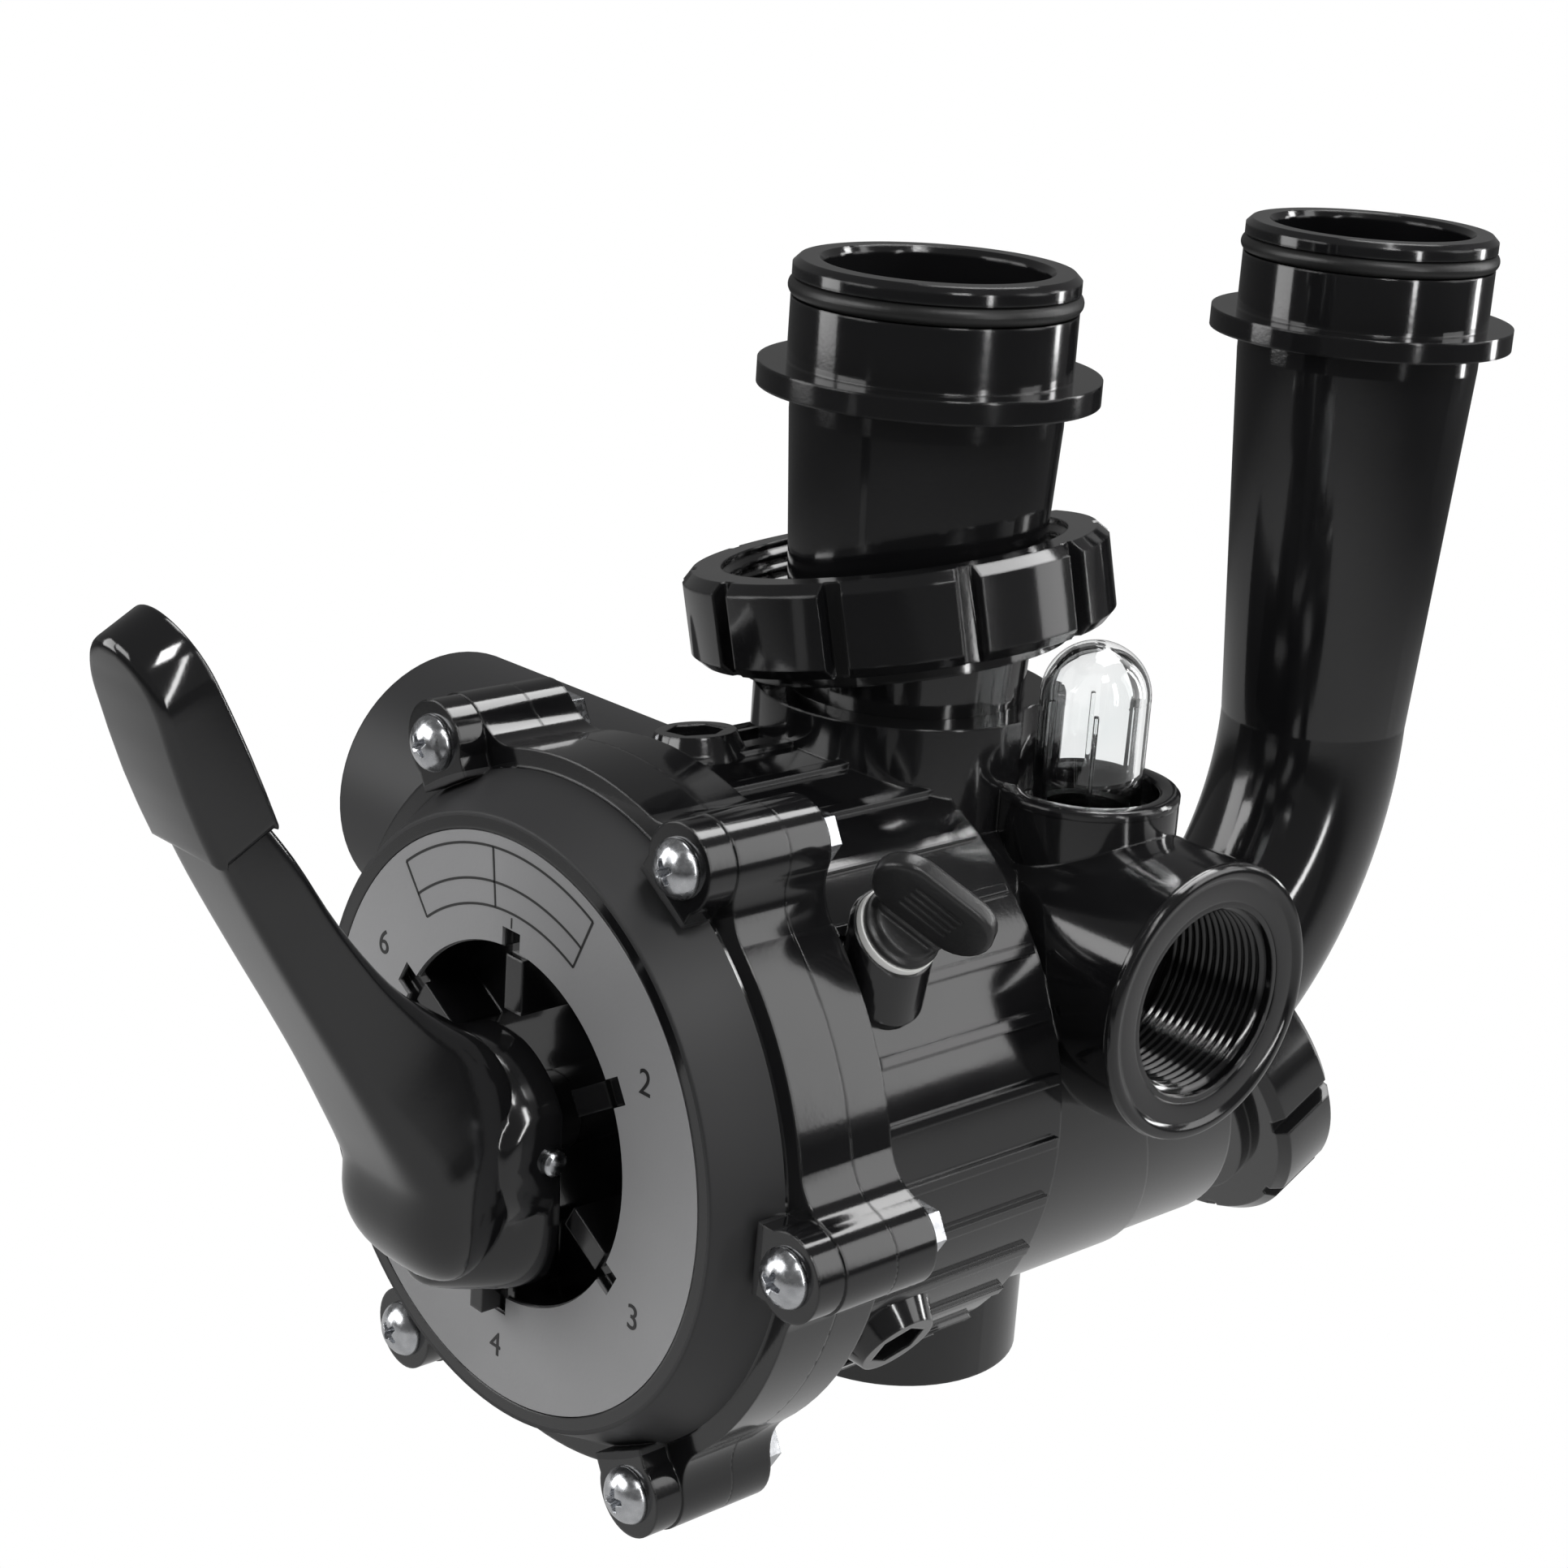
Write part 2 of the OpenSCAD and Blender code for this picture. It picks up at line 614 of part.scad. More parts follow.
module spider_gasket() color(rubber) valve_frame() lay_back(key_seat_y) linear_extrude(height = gasket_t) {
    difference() {
        circle(r = key_r - 1, $fn = 160);
        circle(r = key_r - 5, $fn = 160);
    }
    difference() {
        union() {
            circle(r = 29, $fn = 120);
            for (i = [0 : position_count - 1]) rotate(i * 360 / position_count + 90 / position_count)
                translate([27, -1.8]) square([key_r - 30, 3.6]);
        }
        circle(r = 25, $fn = 120);
    }
}

module rotor_key() color(black) valve_frame() difference() {
    union() {
        drum(key_r, key_front, key_back);
        drum(spring_r + 4, hub_front, key_front + 1);
        drum(stem_r, -pin_out - 7.5, key_front + 1);
        for (i = [0 : 2]) rotate([0, i * 120 + 30, 0])
            translate([spring_r, hub_front + 4, -2]) cube([key_r - spring_r - 8, key_front - hub_front - 3, 4]);
    }
    // O-ring grooves
    for (y = groove_y) lay_back(y) difference() {
        cylinder(r = stem_r + 1, h = 2 * stem_ring_r, $fn = 64);
        translate([0, 0, -1]) cylinder(r = stem_r - 2 * stem_ring_r, h = 6, $fn = 64);
    }
    // windows that join one port to another
    for (a = [30, 150]) rotate([0, -a, 0]) translate([43, key_front - 1, 0])
        rotate([-90, 0, 0]) cylinder(r = 11, h = key_plate_t + 3, $fn = 64);
    // pin hole
    translate([0, -pin_out, 0]) along_x(pin_r, -40, 40);
}

module stem_o_rings() color(rubber) valve_frame() for (y = groove_y)
    lay_back(y + stem_ring_r) rotate_extrude($fn = 64)
        translate([stem_r - stem_ring_r + 0.02, 0]) circle(r = stem_ring_r - 0.005, $fn = 24);

// A coil of wire as rings of corners joined one to the next, closed at both ends.
module key_spring() color(steel) valve_frame() {
    y0 = under_y + washer_t + 0.05;
    pitch = (spring_free - 2 * spring_wire_r) / spring_turns;
    steps = 20;
    points = [for (i = [0 : steps * spring_turns])
        let (a = i * 360 / steps) [spring_r * cos(a), y0 + spring_wire_r + i * pitch / steps, spring_r * sin(a)]];
    sides = 8;
    ring = [for (i = [0 : len(points) - 1]) let (a = i * 360 / steps)
        [for (k = [0 : sides - 1]) let (b = k * 360 / sides)
            [points[i][0] + spring_wire_r * cos(b) * cos(a), points[i][1] + spring_wire_r * sin(b),
             points[i][2] + spring_wire_r * cos(b) * sin(a)]]];
    n = len(points);
    verts = [for (r = ring, p = r) p];
    faces = concat([[for (k = [0 : sides - 1]) k]],
        [for (i = [0 : n - 2], k = [0 : sides - 1])
            [i * sides + k, (i + 1) * sides + k, (i + 1) * sides + (k + 1) % sides, i * sides + (k + 1) % sides]],
        [[for (k = [sides - 1 : -1 : 0]) (n - 1) * sides + k]]);
    polyhedron(points = verts, faces = faces);
}

module spring_washer() color(steel) valve_frame() lay_back(under_y + 0.03) difference() {
    cylinder(r = spring_r + 4, h = washer_t, $fn = 96);
    translate([0, 0, -1]) cylinder(r = bush_r + 0.4, h = washer_t + 2, $fn = 96);
}

// ---- handle ----------------------------------------------------------------------------------

handle_clear = 0.5;
ball_r = 24;
heel_r = 37;

// Point at a distance along the arm and out from the line through the pin.
function arm_point(along, out) = [-out * cos(arm_slope) - along * sin(arm_slope),
                                  along * cos(arm_slope) - out * sin(arm_slope)];

// Side view of the handle, in the plane of y and z.
module handle_side() {
    polygon(concat(
        [[-handle_clear, 24], [-handle_clear, -heel_r], [-10, -heel_r], [-17, -heel_r + 4]],
        [for (a = [0 : 15 : 60]) [-14 - 16 * sin(a) - 6 * (a / 60), -26 + 22 * (1 - cos(a))]],
        [arm_point(8, 30.3), arm_point(arm_reach, 30.3), arm_point(arm_reach, 16.5),
         arm_point(83, 15), arm_point(60, 12), arm_point(45, 8), arm_point(36, 4)],
        [[-8, 28]]));
}

// Front view of the handle, in the plane of x and z.
module handle_front() {
    polygon([[-arm_w / 2, 130], [-arm_w / 2, 50], [-arm_w / 2 - 3, 34], [-hub_w / 2 + 2, 16],
             [-hub_w / 2, 6], [-hub_w / 2, -8], [-hub_w / 2 + 3, -20], [-13, -32], [-9, -heel_r],
             [9, -heel_r], [13, -32], [hub_w / 2 - 3, -20], [hub_w / 2, -8], [hub_w / 2, 6],
             [hub_w / 2 - 2, 16], [arm_w / 2 + 3, 34], [arm_w / 2, 50], [arm_w / 2, 130]]);
}

// An outline of y and z swept across x.
module across(width) translate([-width / 2, 0, 0]) rotate([90, 0, 90]) linear_extrude(height = width) children();

tang_from = arm_reach - 30;

module handle() color(black) valve_frame() difference() {
    union() {
        difference() {
            intersection() {
                across(60) handle_side();
                translate([0, 30, 0]) rotate([90, 0, 0]) linear_extrude(height = 200) handle_front();
            }
            // the arm ends in a tang inside the grip
            rotate([arm_slope, 0, 0]) translate([-40, -100, arm_reach - 36]) cube([80, 200, 200]);
        }
        tang();
        // ball of the hub, round the pin
        intersection() {
            translate([0, -pin_out, 0]) sphere(r = ball_r, $fn = 64);
            translate([-hub_w / 2, -60, -60]) cube([hub_w, 60 - handle_clear, 120]);
        }
        // pointer that drops into a position notch
        translate([-2.2, -6, -well_r - 3]) cube([4.4, 6 - hand_gap - 0.1, 10]);
    }
    // room for the stem, with room to rock
    translate([-stem_r - hand_gap, -pin_out - 12, -14]) cube([2 * (stem_r + hand_gap), 20, 28]);
    translate([0, -pin_out, 0]) along_x(pin_r + running_gap, -40, 40);
}

// The tang of the arm, held inside the grip.
module tang() across(arm_w - 7) polygon([arm_point(arm_reach - 40, 25), arm_point(arm_reach - 8, 25),
    arm_point(arm_reach - 8, 18), arm_point(arm_reach - 40, 18)]);

// Round-ended grip over the end of the arm, thinner towards its end.
module handle_grip() color(black) valve_frame() difference() {
    out1 = 31.7;
    out0 = out1 - grip_t;
    a0 = arm_reach - 36 + 0.02;
    a1 = a0 + grip_length;
    intersection() {
        across(grip_w) polygon([arm_point(a0, out0), arm_point(a0, out1), arm_point(a0 + 18, out1 - 1.7),
            arm_point(a1 - 16, out1 - 5.2), arm_point(a1 - 1.5, out1 - 7.5), arm_point(a1, out1 - 9.5),
            arm_point(a1, out0 - 2.5), arm_point(a1 - 1.5, out0 - 4), arm_point(a1 - 16, out0 - 3.4)]);
        rotate([arm_slope, 0, 0]) translate([0, 100, 0]) rotate([90, 0, 0]) linear_extrude(height = 200) union() {
            translate([-grip_w / 2, a0 - 1]) square([grip_w, grip_length + 1 - grip_w / 2]);
            translate([0, a1 - grip_w / 2]) circle(r = grip_w / 2 + 0.02, $fn = 64);
        }
    }
    tang();
}

module handle_pin() color(steel) valve_frame() translate([0, -pin_out, 0])
    along_x(pin_r, -pin_length / 2, pin_length / 2);

// ---- sight glass -----------------------------------------------------------------------------

module at_glass() translate([socket_x, waste_y, glass_seat]) children();

// Ball end of the glass, with a hair taken off its pole.
module glass_dome(r) translate([0, 0, glass_h - glass_r]) intersection() {
    sphere(r = r, $fn = 64);
    translate([0, 0, -1]) cylinder(r = r + 1, h = r + 0.95, $fn = 64);
}

module sight_glass() color([0.85, 0.9, 0.92, 0.4]) valve_frame() at_glass() translate([0, 0, 2.5]) difference() {
    union() {
        cylinder(r = glass_r, h = glass_h - glass_r, $fn = 64);
        glass_dome(glass_r);
        cylinder(r = glass_collar_r, h = 8, $fn = 64);
    }
    translate([0, 0, -1]) cylinder(r = glass_r - 2.2, h = glass_h - glass_r + 1, $fn = 64);
    glass_dome(glass_r - 2.2);
}

module sight_glass_gasket() color(rubber) valve_frame() at_glass() difference() {
    cylinder(r = glass_collar_r, h = 2.45, $fn = 64);
    translate([0, 0, -1]) cylinder(r = glass_r - 3, h = 6, $fn = 64);
}

// ---- plug ------------------------------------------------------------------------------------

wing_turn = 38;

module wing_plug() color(black) valve_frame() at_plug() translate([0, 0, plug_ring_t + 0.05]) {
    translate([0, 0, -plug_drop - plug_ring_t]) cylinder(r = plug_bore_r, h = plug_drop + plug_ring_t + 1, $fn = 64);
    cylinder(r = plug_r, h = 4, $fn = 64);
    rotate(wing_turn) translate([-7, -wing_t / 2 + 0.1, 3]) cube([14, wing_t - 0.2, 4]);
    rotate(wing_turn) translate([0, 0, 5.2]) {
        translate([-wing_length / 2 + wing_h / 2, -wing_t / 2, 0]) cube([wing_length - wing_h, wing_t, wing_h]);
        for (side = [-1, 1]) translate([side * (wing_length - wing_h) / 2, wing_t / 2, wing_h / 2])
            rotate([90, 0, 0]) cylinder(r = wing_h / 2 + 0.02, h = wing_t, $fn = 48);
    }
}

module plug_ring() color([0.85, 0.85, 0.83]) valve_frame() at_plug() difference() {
    cylinder(r = plug_r + 2, h = plug_ring_t, $fn = 64);
    translate([0, 0, -1]) cylinder(r = plug_bore_r + running_gap, h = 5, $fn = 64);
}

valve_body();
cover();
cover_o_ring();
dial_plate();
flange_screws();
flange_nuts();
spider_gasket();
rotor_key();
stem_o_rings();
key_spring();
spring_washer();
handle();
handle_grip();
handle_pin();
sight_glass();
sight_glass_gasket();
wing_plug();
plug_ring();
upper_union_nut();
short_connector();
short_connector_o_ring();
lower_union_nut();
elbow_connector();
elbow_o_ring();
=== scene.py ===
import json
import math

import bmesh
import bpy
from mathutils import Matrix, Vector


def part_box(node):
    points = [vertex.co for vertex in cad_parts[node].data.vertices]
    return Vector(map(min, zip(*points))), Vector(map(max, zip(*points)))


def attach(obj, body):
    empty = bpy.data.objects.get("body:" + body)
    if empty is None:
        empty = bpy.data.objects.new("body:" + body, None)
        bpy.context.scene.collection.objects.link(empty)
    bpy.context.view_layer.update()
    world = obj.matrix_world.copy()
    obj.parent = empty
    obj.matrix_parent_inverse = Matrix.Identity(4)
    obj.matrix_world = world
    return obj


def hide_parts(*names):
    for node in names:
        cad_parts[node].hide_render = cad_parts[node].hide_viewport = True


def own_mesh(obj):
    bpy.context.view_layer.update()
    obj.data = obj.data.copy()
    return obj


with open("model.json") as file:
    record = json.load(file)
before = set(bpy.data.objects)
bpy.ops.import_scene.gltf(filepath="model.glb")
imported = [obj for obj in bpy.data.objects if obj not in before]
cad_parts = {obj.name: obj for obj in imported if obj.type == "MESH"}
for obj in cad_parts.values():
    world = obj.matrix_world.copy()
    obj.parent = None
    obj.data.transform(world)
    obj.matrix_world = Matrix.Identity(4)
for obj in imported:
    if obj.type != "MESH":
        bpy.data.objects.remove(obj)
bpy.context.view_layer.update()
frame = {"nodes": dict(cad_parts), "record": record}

# ---------------------------------------------------------------------------------------------
# Where things are. The selector axis runs along Y at AXIS_Z, and the dial faces -Y.
# Places are given in millimetres from the dial's centre, and at() puts them in the frame.
# ---------------------------------------------------------------------------------------------

MM = 0.001
AXIS_Z = 90 * MM
DIAL_Y = -129 * MM
SAME_POINT = 1e-7

WASTE_END = (88, 134, 30)
BOTTOM_END = (0, 129, -90)
SOCKET_TOP = (45, 134, 70)


def at(x, y, z):
    """A point given from the dial's centre, in millimetres, in the object's frame in metres."""
    return Vector((x * MM, DIAL_Y + y * MM, AXIS_Z + z * MM))


# ---------------------------------------------------------------------------------------------
# Camera, floor and light
# ---------------------------------------------------------------------------------------------

CAMERA_AT = (0.5058, -0.5191, 0.3844)
CAMERA_RIGHT = (0.6628, 0.7461, 0.0636)
CAMERA_BACK = (0.6966, -0.6456, 0.3130)
LENS = 71.14
SENSOR = 36.0

FLOOR_HALF = 3.0
FLOOR_GREY = 0.6
WORLD_GREY = 0.8
WORLD_STRENGTH = 0.17
# Painted pool of light on the floor, seen only in reflections: where it starts and stops fading, in
# metres, and its strength near and far.
GLOW_NEAR, GLOW_FAR = 0.35, 0.85
GLOW_LIT, GLOW_DARK = 0.5, 0.06
MIDDLE = (0.0, 0.0, 0.1)
BARREL_SIDE = (0.08, -0.075, 0.12)


def make_camera():
    data = bpy.data.cameras.new("camera")
    data.lens = LENS
    data.sensor_width = SENSOR
    data.clip_end = 20.0
    cam = bpy.data.objects.new("camera", data)
    bpy.context.scene.collection.objects.link(cam)
    right = Vector(CAMERA_RIGHT).normalized()
    back = Vector(CAMERA_BACK).normalized()
    up = back.cross(right).normalized()
    right = up.cross(back).normalized()
    turn = Matrix((right, up, back)).transposed().to_4x4()
    cam.matrix_world = Matrix.Translation(CAMERA_AT) @ turn
    bpy.context.scene.camera = cam


def shown_to(tree, rays, seen, plain):
    """Shows one shader to the named kinds of ray, and the plain one to all others."""
    nodes, links = tree.nodes, tree.links
    path = nodes.new("ShaderNodeLightPath")
    share = path.outputs[rays[0]]
    for ray in rays[1:]:
        most = nodes.new("ShaderNodeMath")
        most.operation = "MAXIMUM"
        links.new(share, most.inputs[0])
        links.new(path.outputs[ray], most.inputs[1])
        share = most.outputs[0]
    mix = nodes.new("ShaderNodeMixShader")
    links.new(share, mix.inputs[0])
    links.new(plain.outputs[0], mix.inputs[1])
    links.new(seen.outputs[0], mix.inputs[2])
    return mix


def plain_white(tree, kind):
    """White at a strength of 1, as an emission or a background."""
    shader = tree.nodes.new(kind)
    shader.inputs["Color"].default_value = (1, 1, 1, 1)
    shader.inputs["Strength"].default_value = 1.0
    return shader


def paper_glow(tree):
    """What reflections see of the floor: a painted pool of light under the object, an emission with no
    lamp, fading to a dark floor beyond it.
    """
    nodes, links = tree.nodes, tree.links
    coords = nodes.new("ShaderNodeTexCoord")
    length = nodes.new("ShaderNodeVectorMath")
    length.operation = "LENGTH"
    links.new(coords.outputs["Object"], length.inputs[0])
    fade = nodes.new("ShaderNodeMapRange")
    fade.interpolation_type = "SMOOTHSTEP"
    fade.inputs["From Min"].default_value = GLOW_NEAR
    fade.inputs["From Max"].default_value = GLOW_FAR
    fade.inputs["To Min"].default_value = GLOW_LIT
    fade.inputs["To Max"].default_value = GLOW_DARK
    links.new(length.outputs["Value"], fade.inputs["Value"])
    # Painted light: the floor glows to glossy rays, brightest under the object.
    glow = nodes.new("ShaderNodeEmission")
    links.new(fade.outputs[0], glow.inputs["Strength"])
    return glow


def make_floor():
    """A sheet that is white to the camera, and to reflections a painted pool of light that fades out."""
    bm = bmesh.new()
    bmesh.ops.create_grid(bm, x_segments=1, y_segments=1, size=FLOOR_HALF)
    mesh = bpy.data.meshes.new("floor")
    bm.to_mesh(mesh)
    bm.free()
    floor = bpy.data.objects.new("floor", mesh)
    bpy.context.scene.collection.objects.link(floor)
    mat = bpy.data.materials.new("floor paper")
    mat.use_nodes = True
    tree = mat.node_tree
    paper = tree.nodes["Principled BSDF"]
    paper.inputs["Base Color"].default_value = (FLOOR_GREY, FLOOR_GREY, FLOOR_GREY, 1)
    paper.inputs["Roughness"].default_value = 0.9
    # Glossy rays see the painted pool of light instead of the lamp-lit paper.
    reflected = shown_to(tree, ["Is Glossy Ray"], paper_glow(tree), paper)
    white = plain_white(tree, "ShaderNodeEmission")
    shown = shown_to(tree, ["Is Camera Ray", "Is Transmission Ray"], white, reflected)
    tree.links.new(shown.outputs[0], tree.nodes["Material Output"].inputs["Surface"])
    mesh.materials.append(mat)


def make_world():
    """Soft light from all round, which is white to the camera."""
    world = bpy.data.worlds.new("studio")
    bpy.context.scene.world = world
    world.use_nodes = True
    tree = world.node_tree
    tree.nodes.clear()
    out = tree.nodes.new("ShaderNodeOutputWorld")
    soft = tree.nodes.new("ShaderNodeBackground")
    soft.inputs["Color"].default_value = (WORLD_GREY, WORLD_GREY, WORLD_GREY, 1)
    soft.inputs["Strength"].default_value = WORLD_STRENGTH
    white = plain_white(tree, "ShaderNodeBackground")
    shown = shown_to(tree, ["Is Camera Ray", "Is Transmission Ray"], white, soft)
    tree.links.new(shown.outputs[0], out.inputs["Surface"])


def area_lamp(name, where, target, width, height, power):
    """A rectangular lamp aimed at a target."""
    data = bpy.data.lights.new(name, "AREA")
    data.shape = "RECTANGLE"
    data.size = width
    data.size_y = height
    data.energy = power
    lamp = bpy.data.objects.new(name, data)
    bpy.context.scene.collection.objects.link(lamp)
    lamp.location = where
    aim = (Vector(target) - Vector(where)).to_track_quat("-Z", "Y")
    lamp.rotation_euler = aim.to_euler()


def make_lights():
    area_lamp("dial softbox", (-0.5, -1.5, 0.9), MIDDLE, 0.8, 0.8, 9)
    area_lamp("top softbox", (-0.1, 0.55, 1.5), MIDDLE, 0.7, 1.0, 14)
    area_lamp("upper right softbox", (0.9, -0.35, 1.3), MIDDLE, 0.3, 0.3, 6)
    area_lamp("right strip", (1.35, -0.05, 0.55), MIDDLE, 0.10, 1.1, 5)
    area_lamp("left softbox", (-0.95, -0.95, 0.4), MIDDLE, 0.5, 1.1, 6)
    area_lamp("back strip", (0.45, 1.25, 0.5), MIDDLE, 0.16, 1.1, 6)
    area_lamp("barrel softbox", (0.97, 0.88, 0.66), BARREL_SIDE, 0.5, 1.1, 3.8)


# ---------------------------------------------------------------------------------------------
# Finishes
# ---------------------------------------------------------------------------------------------

SIDE_PORT_X = -85
CONE_LOW_R, CONE_HIGH_R = 70.5, 79.5
CONE_BACK = 14.5
MATTE = {
    "Base Color": (0.022, 0.022, 0.023, 1),
    "Roughness": (0.5, 0.5, 0.5, 1),
    "Coat Weight": (0, 0, 0, 1),
}
SPECIAL_FINISH = {"valve_body": "side_port_black", "cover": "cover_black"}


def new_finish(name):
    """A new material, with its nodes, its links and its main shader."""
    mat = bpy.data.materials.new(name)
    mat.use_nodes = True
    return mat, mat.node_tree.nodes, mat.node_tree.links, mat.node_tree.nodes["Principled BSDF"]


def surface_noise(nodes, links, scale, detail):
    """Noise in the object's own coordinates."""
    coords = nodes.new("ShaderNodeTexCoord")
    noise = nodes.new("ShaderNodeTexNoise")
    noise.inputs["Scale"].default_value = scale
    noise.inputs["Detail"].default_value = detail
    links.new(coords.outputs["Object"], noise.inputs["Vector"])
    return noise


def ramp(nodes, links, noise, low, high, start=0.3, end=0.7):
    """The noise between start and end as a value from low to high."""
    mapped = nodes.new("ShaderNodeMapRange")
    mapped.inputs["From Min"].default_value = start
    mapped.inputs["From Max"].default_value = end
    mapped.inputs["To Min"].default_value = low
    mapped.inputs["To Max"].default_value = high
    links.new(noise.outputs["Fac"], mapped.inputs["Value"])
    return mapped.outputs[0]


def tint(nodes, links, noise, dark, light):
    """The noise as a colour from dark to light."""
    steps = nodes.new("ShaderNodeValToRGB")
    steps.color_ramp.elements[0].position = 0.3
    steps.color_ramp.elements[0].color = (*dark, 1)
    steps.color_ramp.elements[1].position = 0.7
    steps.color_ramp.elements[1].color = (*light, 1)
    links.new(noise.outputs["Fac"], steps.inputs["Fac"])
    return steps.outputs["Color"]


def bump(nodes, links, noise, strength, depth, under=None):
    """Raises the surface with the noise, on top of the normal under it if one is given."""
    node = nodes.new("ShaderNodeBump")
    node.inputs["Strength"].default_value = strength
    node.inputs["Distance"].default_value = depth
    links.new(noise.outputs["Fac"], node.inputs["Height"])
    if under is not None:
        links.new(under, node.inputs["Normal"])
    return node.outputs["Normal"]


def soft_edges(nodes, radius):
    """A normal that rounds the sharp edges over a radius in metres."""
    node = nodes.new("ShaderNodeBevel")
    node.samples = 6
    node.inputs["Radius"].default_value = radius
    return node.outputs["Normal"]


def moulded_plastic(name, dark, light, rough, ripple, grain, coat=0.0, edge=0.0):
    """Injection-moulded plastic: slow ripples, a fine skin, and softened edges if edge is set."""
    mat, nodes, links, bsdf = new_finish(name)
    slow = surface_noise(nodes, links, 14.0, 2.0)
    fine = surface_noise(nodes, links, 900.0, 2.0)
    cloud = surface_noise(nodes, links, 45.0, 4.0)
    links.new(tint(nodes, links, slow, dark, light), bsdf.inputs["Base Color"])
    links.new(ramp(nodes, links, cloud, *rough), bsdf.inputs["Roughness"])
    rounded = soft_edges(nodes, edge) if edge else None
    rippled = bump(nodes, links, slow, ripple, 0.002, rounded)
    links.new(bump(nodes, links, fine, grain, 0.0002, rippled), bsdf.inputs["Normal"])
    bsdf.inputs["IOR"].default_value = 1.5
    bsdf.inputs["Coat Weight"].default_value = coat
    bsdf.inputs["Coat Roughness"].default_value = 0.08
    return mat


def maths(nodes, links, operation, first, second):
    """A math node on two values, each a socket or a number."""
    node = nodes.new("ShaderNodeMath")
    node.operation = operation
    for slot, value in enumerate((first, second)):
        if isinstance(value, (int, float)):
            node.inputs[slot].default_value = value
        else:
            links.new(value, node.inputs[slot])
    return node.outputs[0]


def side_port_mask(nodes, links, x, y, z):
    """1 on the side port's pipe, and 0 elsewhere."""
    return maths(nodes, links, "LESS_THAN", x, SIDE_PORT_X * MM)


def cone_mask(nodes, links, x, y, z):
    """1 on the cover's cone round the dial, and 0 elsewhere."""
    up = maths(nodes, links, "SUBTRACT", z, AXIS_Z)
    across_square = maths(nodes, links, "MULTIPLY", x, x)
    up_square = maths(nodes, links, "MULTIPLY", up, up)
    square = maths(nodes, links, "ADD", across_square, up_square)
    outside = maths(nodes, links, "GREATER_THAN", square, (CONE_LOW_R * MM) ** 2)
    inside = maths(nodes, links, "LESS_THAN", square, (CONE_HIGH_R * MM) ** 2)
    front = maths(nodes, links, "LESS_THAN", y, DIAL_Y + CONE_BACK * MM)
    return maths(nodes, links, "MULTIPLY", maths(nodes, links, "MULTIPLY", outside, inside), front)


def with_matte(finish, name, mask_of):
    """A copy of a finish that is dull and a little greyer where the mask is 1."""
    mat = finish.copy()
    mat.name = name
    nodes, links = mat.node_tree.nodes, mat.node_tree.links
    bsdf = nodes["Principled BSDF"]
    coords = nodes.new("ShaderNodeTexCoord")
    apart = nodes.new("ShaderNodeSeparateXYZ")
    links.new(coords.outputs["Object"], apart.inputs[0])
    mask = mask_of(nodes, links, *apart.outputs)
    for input_name, value in MATTE.items():
        socket = bsdf.inputs[input_name]
        mix = nodes.new("ShaderNodeMix")
        mix.data_type = "RGBA"
        links.new(mask, mix.inputs[0])
        if socket.links:
            links.new(socket.links[0].from_socket, mix.inputs[6])
        else:
            mix.inputs[6].default_value = (socket.default_value,) * 3 + (1,)
        mix.inputs[7].default_value = value
        links.new(mix.outputs[2], socket)
    return mat


def screw_steel(name):
    """Plated steel, a little cloudy and scuffed."""
    mat, nodes, links, bsdf = new_finish(name)
    cloud = surface_noise(nodes, links, 300.0, 5.0)
    scuffs = surface_noise(nodes, links, 700.0, 3.0)
    colour = tint(nodes, links, cloud, (0.5, 0.51, 0.53), (0.72, 0.73, 0.75))
    links.new(colour, bsdf.inputs["Base Color"])
    links.new(ramp(nodes, links, scuffs, 0.16, 0.34), bsdf.inputs["Roughness"])
    normal = bump(nodes, links, cloud, 0.15, 0.0002, soft_edges(nodes, 0.0004))
    links.new(normal, bsdf.inputs["Normal"])
    bsdf.inputs["Metallic"].default_value = 1.0
    return mat


def clear_moulding(name):
    """Clear plastic, a little uneven in its tint and its polish."""
    mat, nodes, links, bsdf = new_finish(name)
    cloud = surface_noise(nodes, links, 60.0, 2.0)
    links.new(tint(nodes, links, cloud, (0.93, 0.95, 0.95), (1, 1, 1)), bsdf.inputs["Base Color"])
    links.new(ramp(nodes, links, cloud, 0.0, 0.03, 0.0, 1.0), bsdf.inputs["Roughness"])
    bsdf.inputs["Transmission Weight"].default_value = 1.0
    bsdf.inputs["IOR"].default_value = 1.49
    return mat


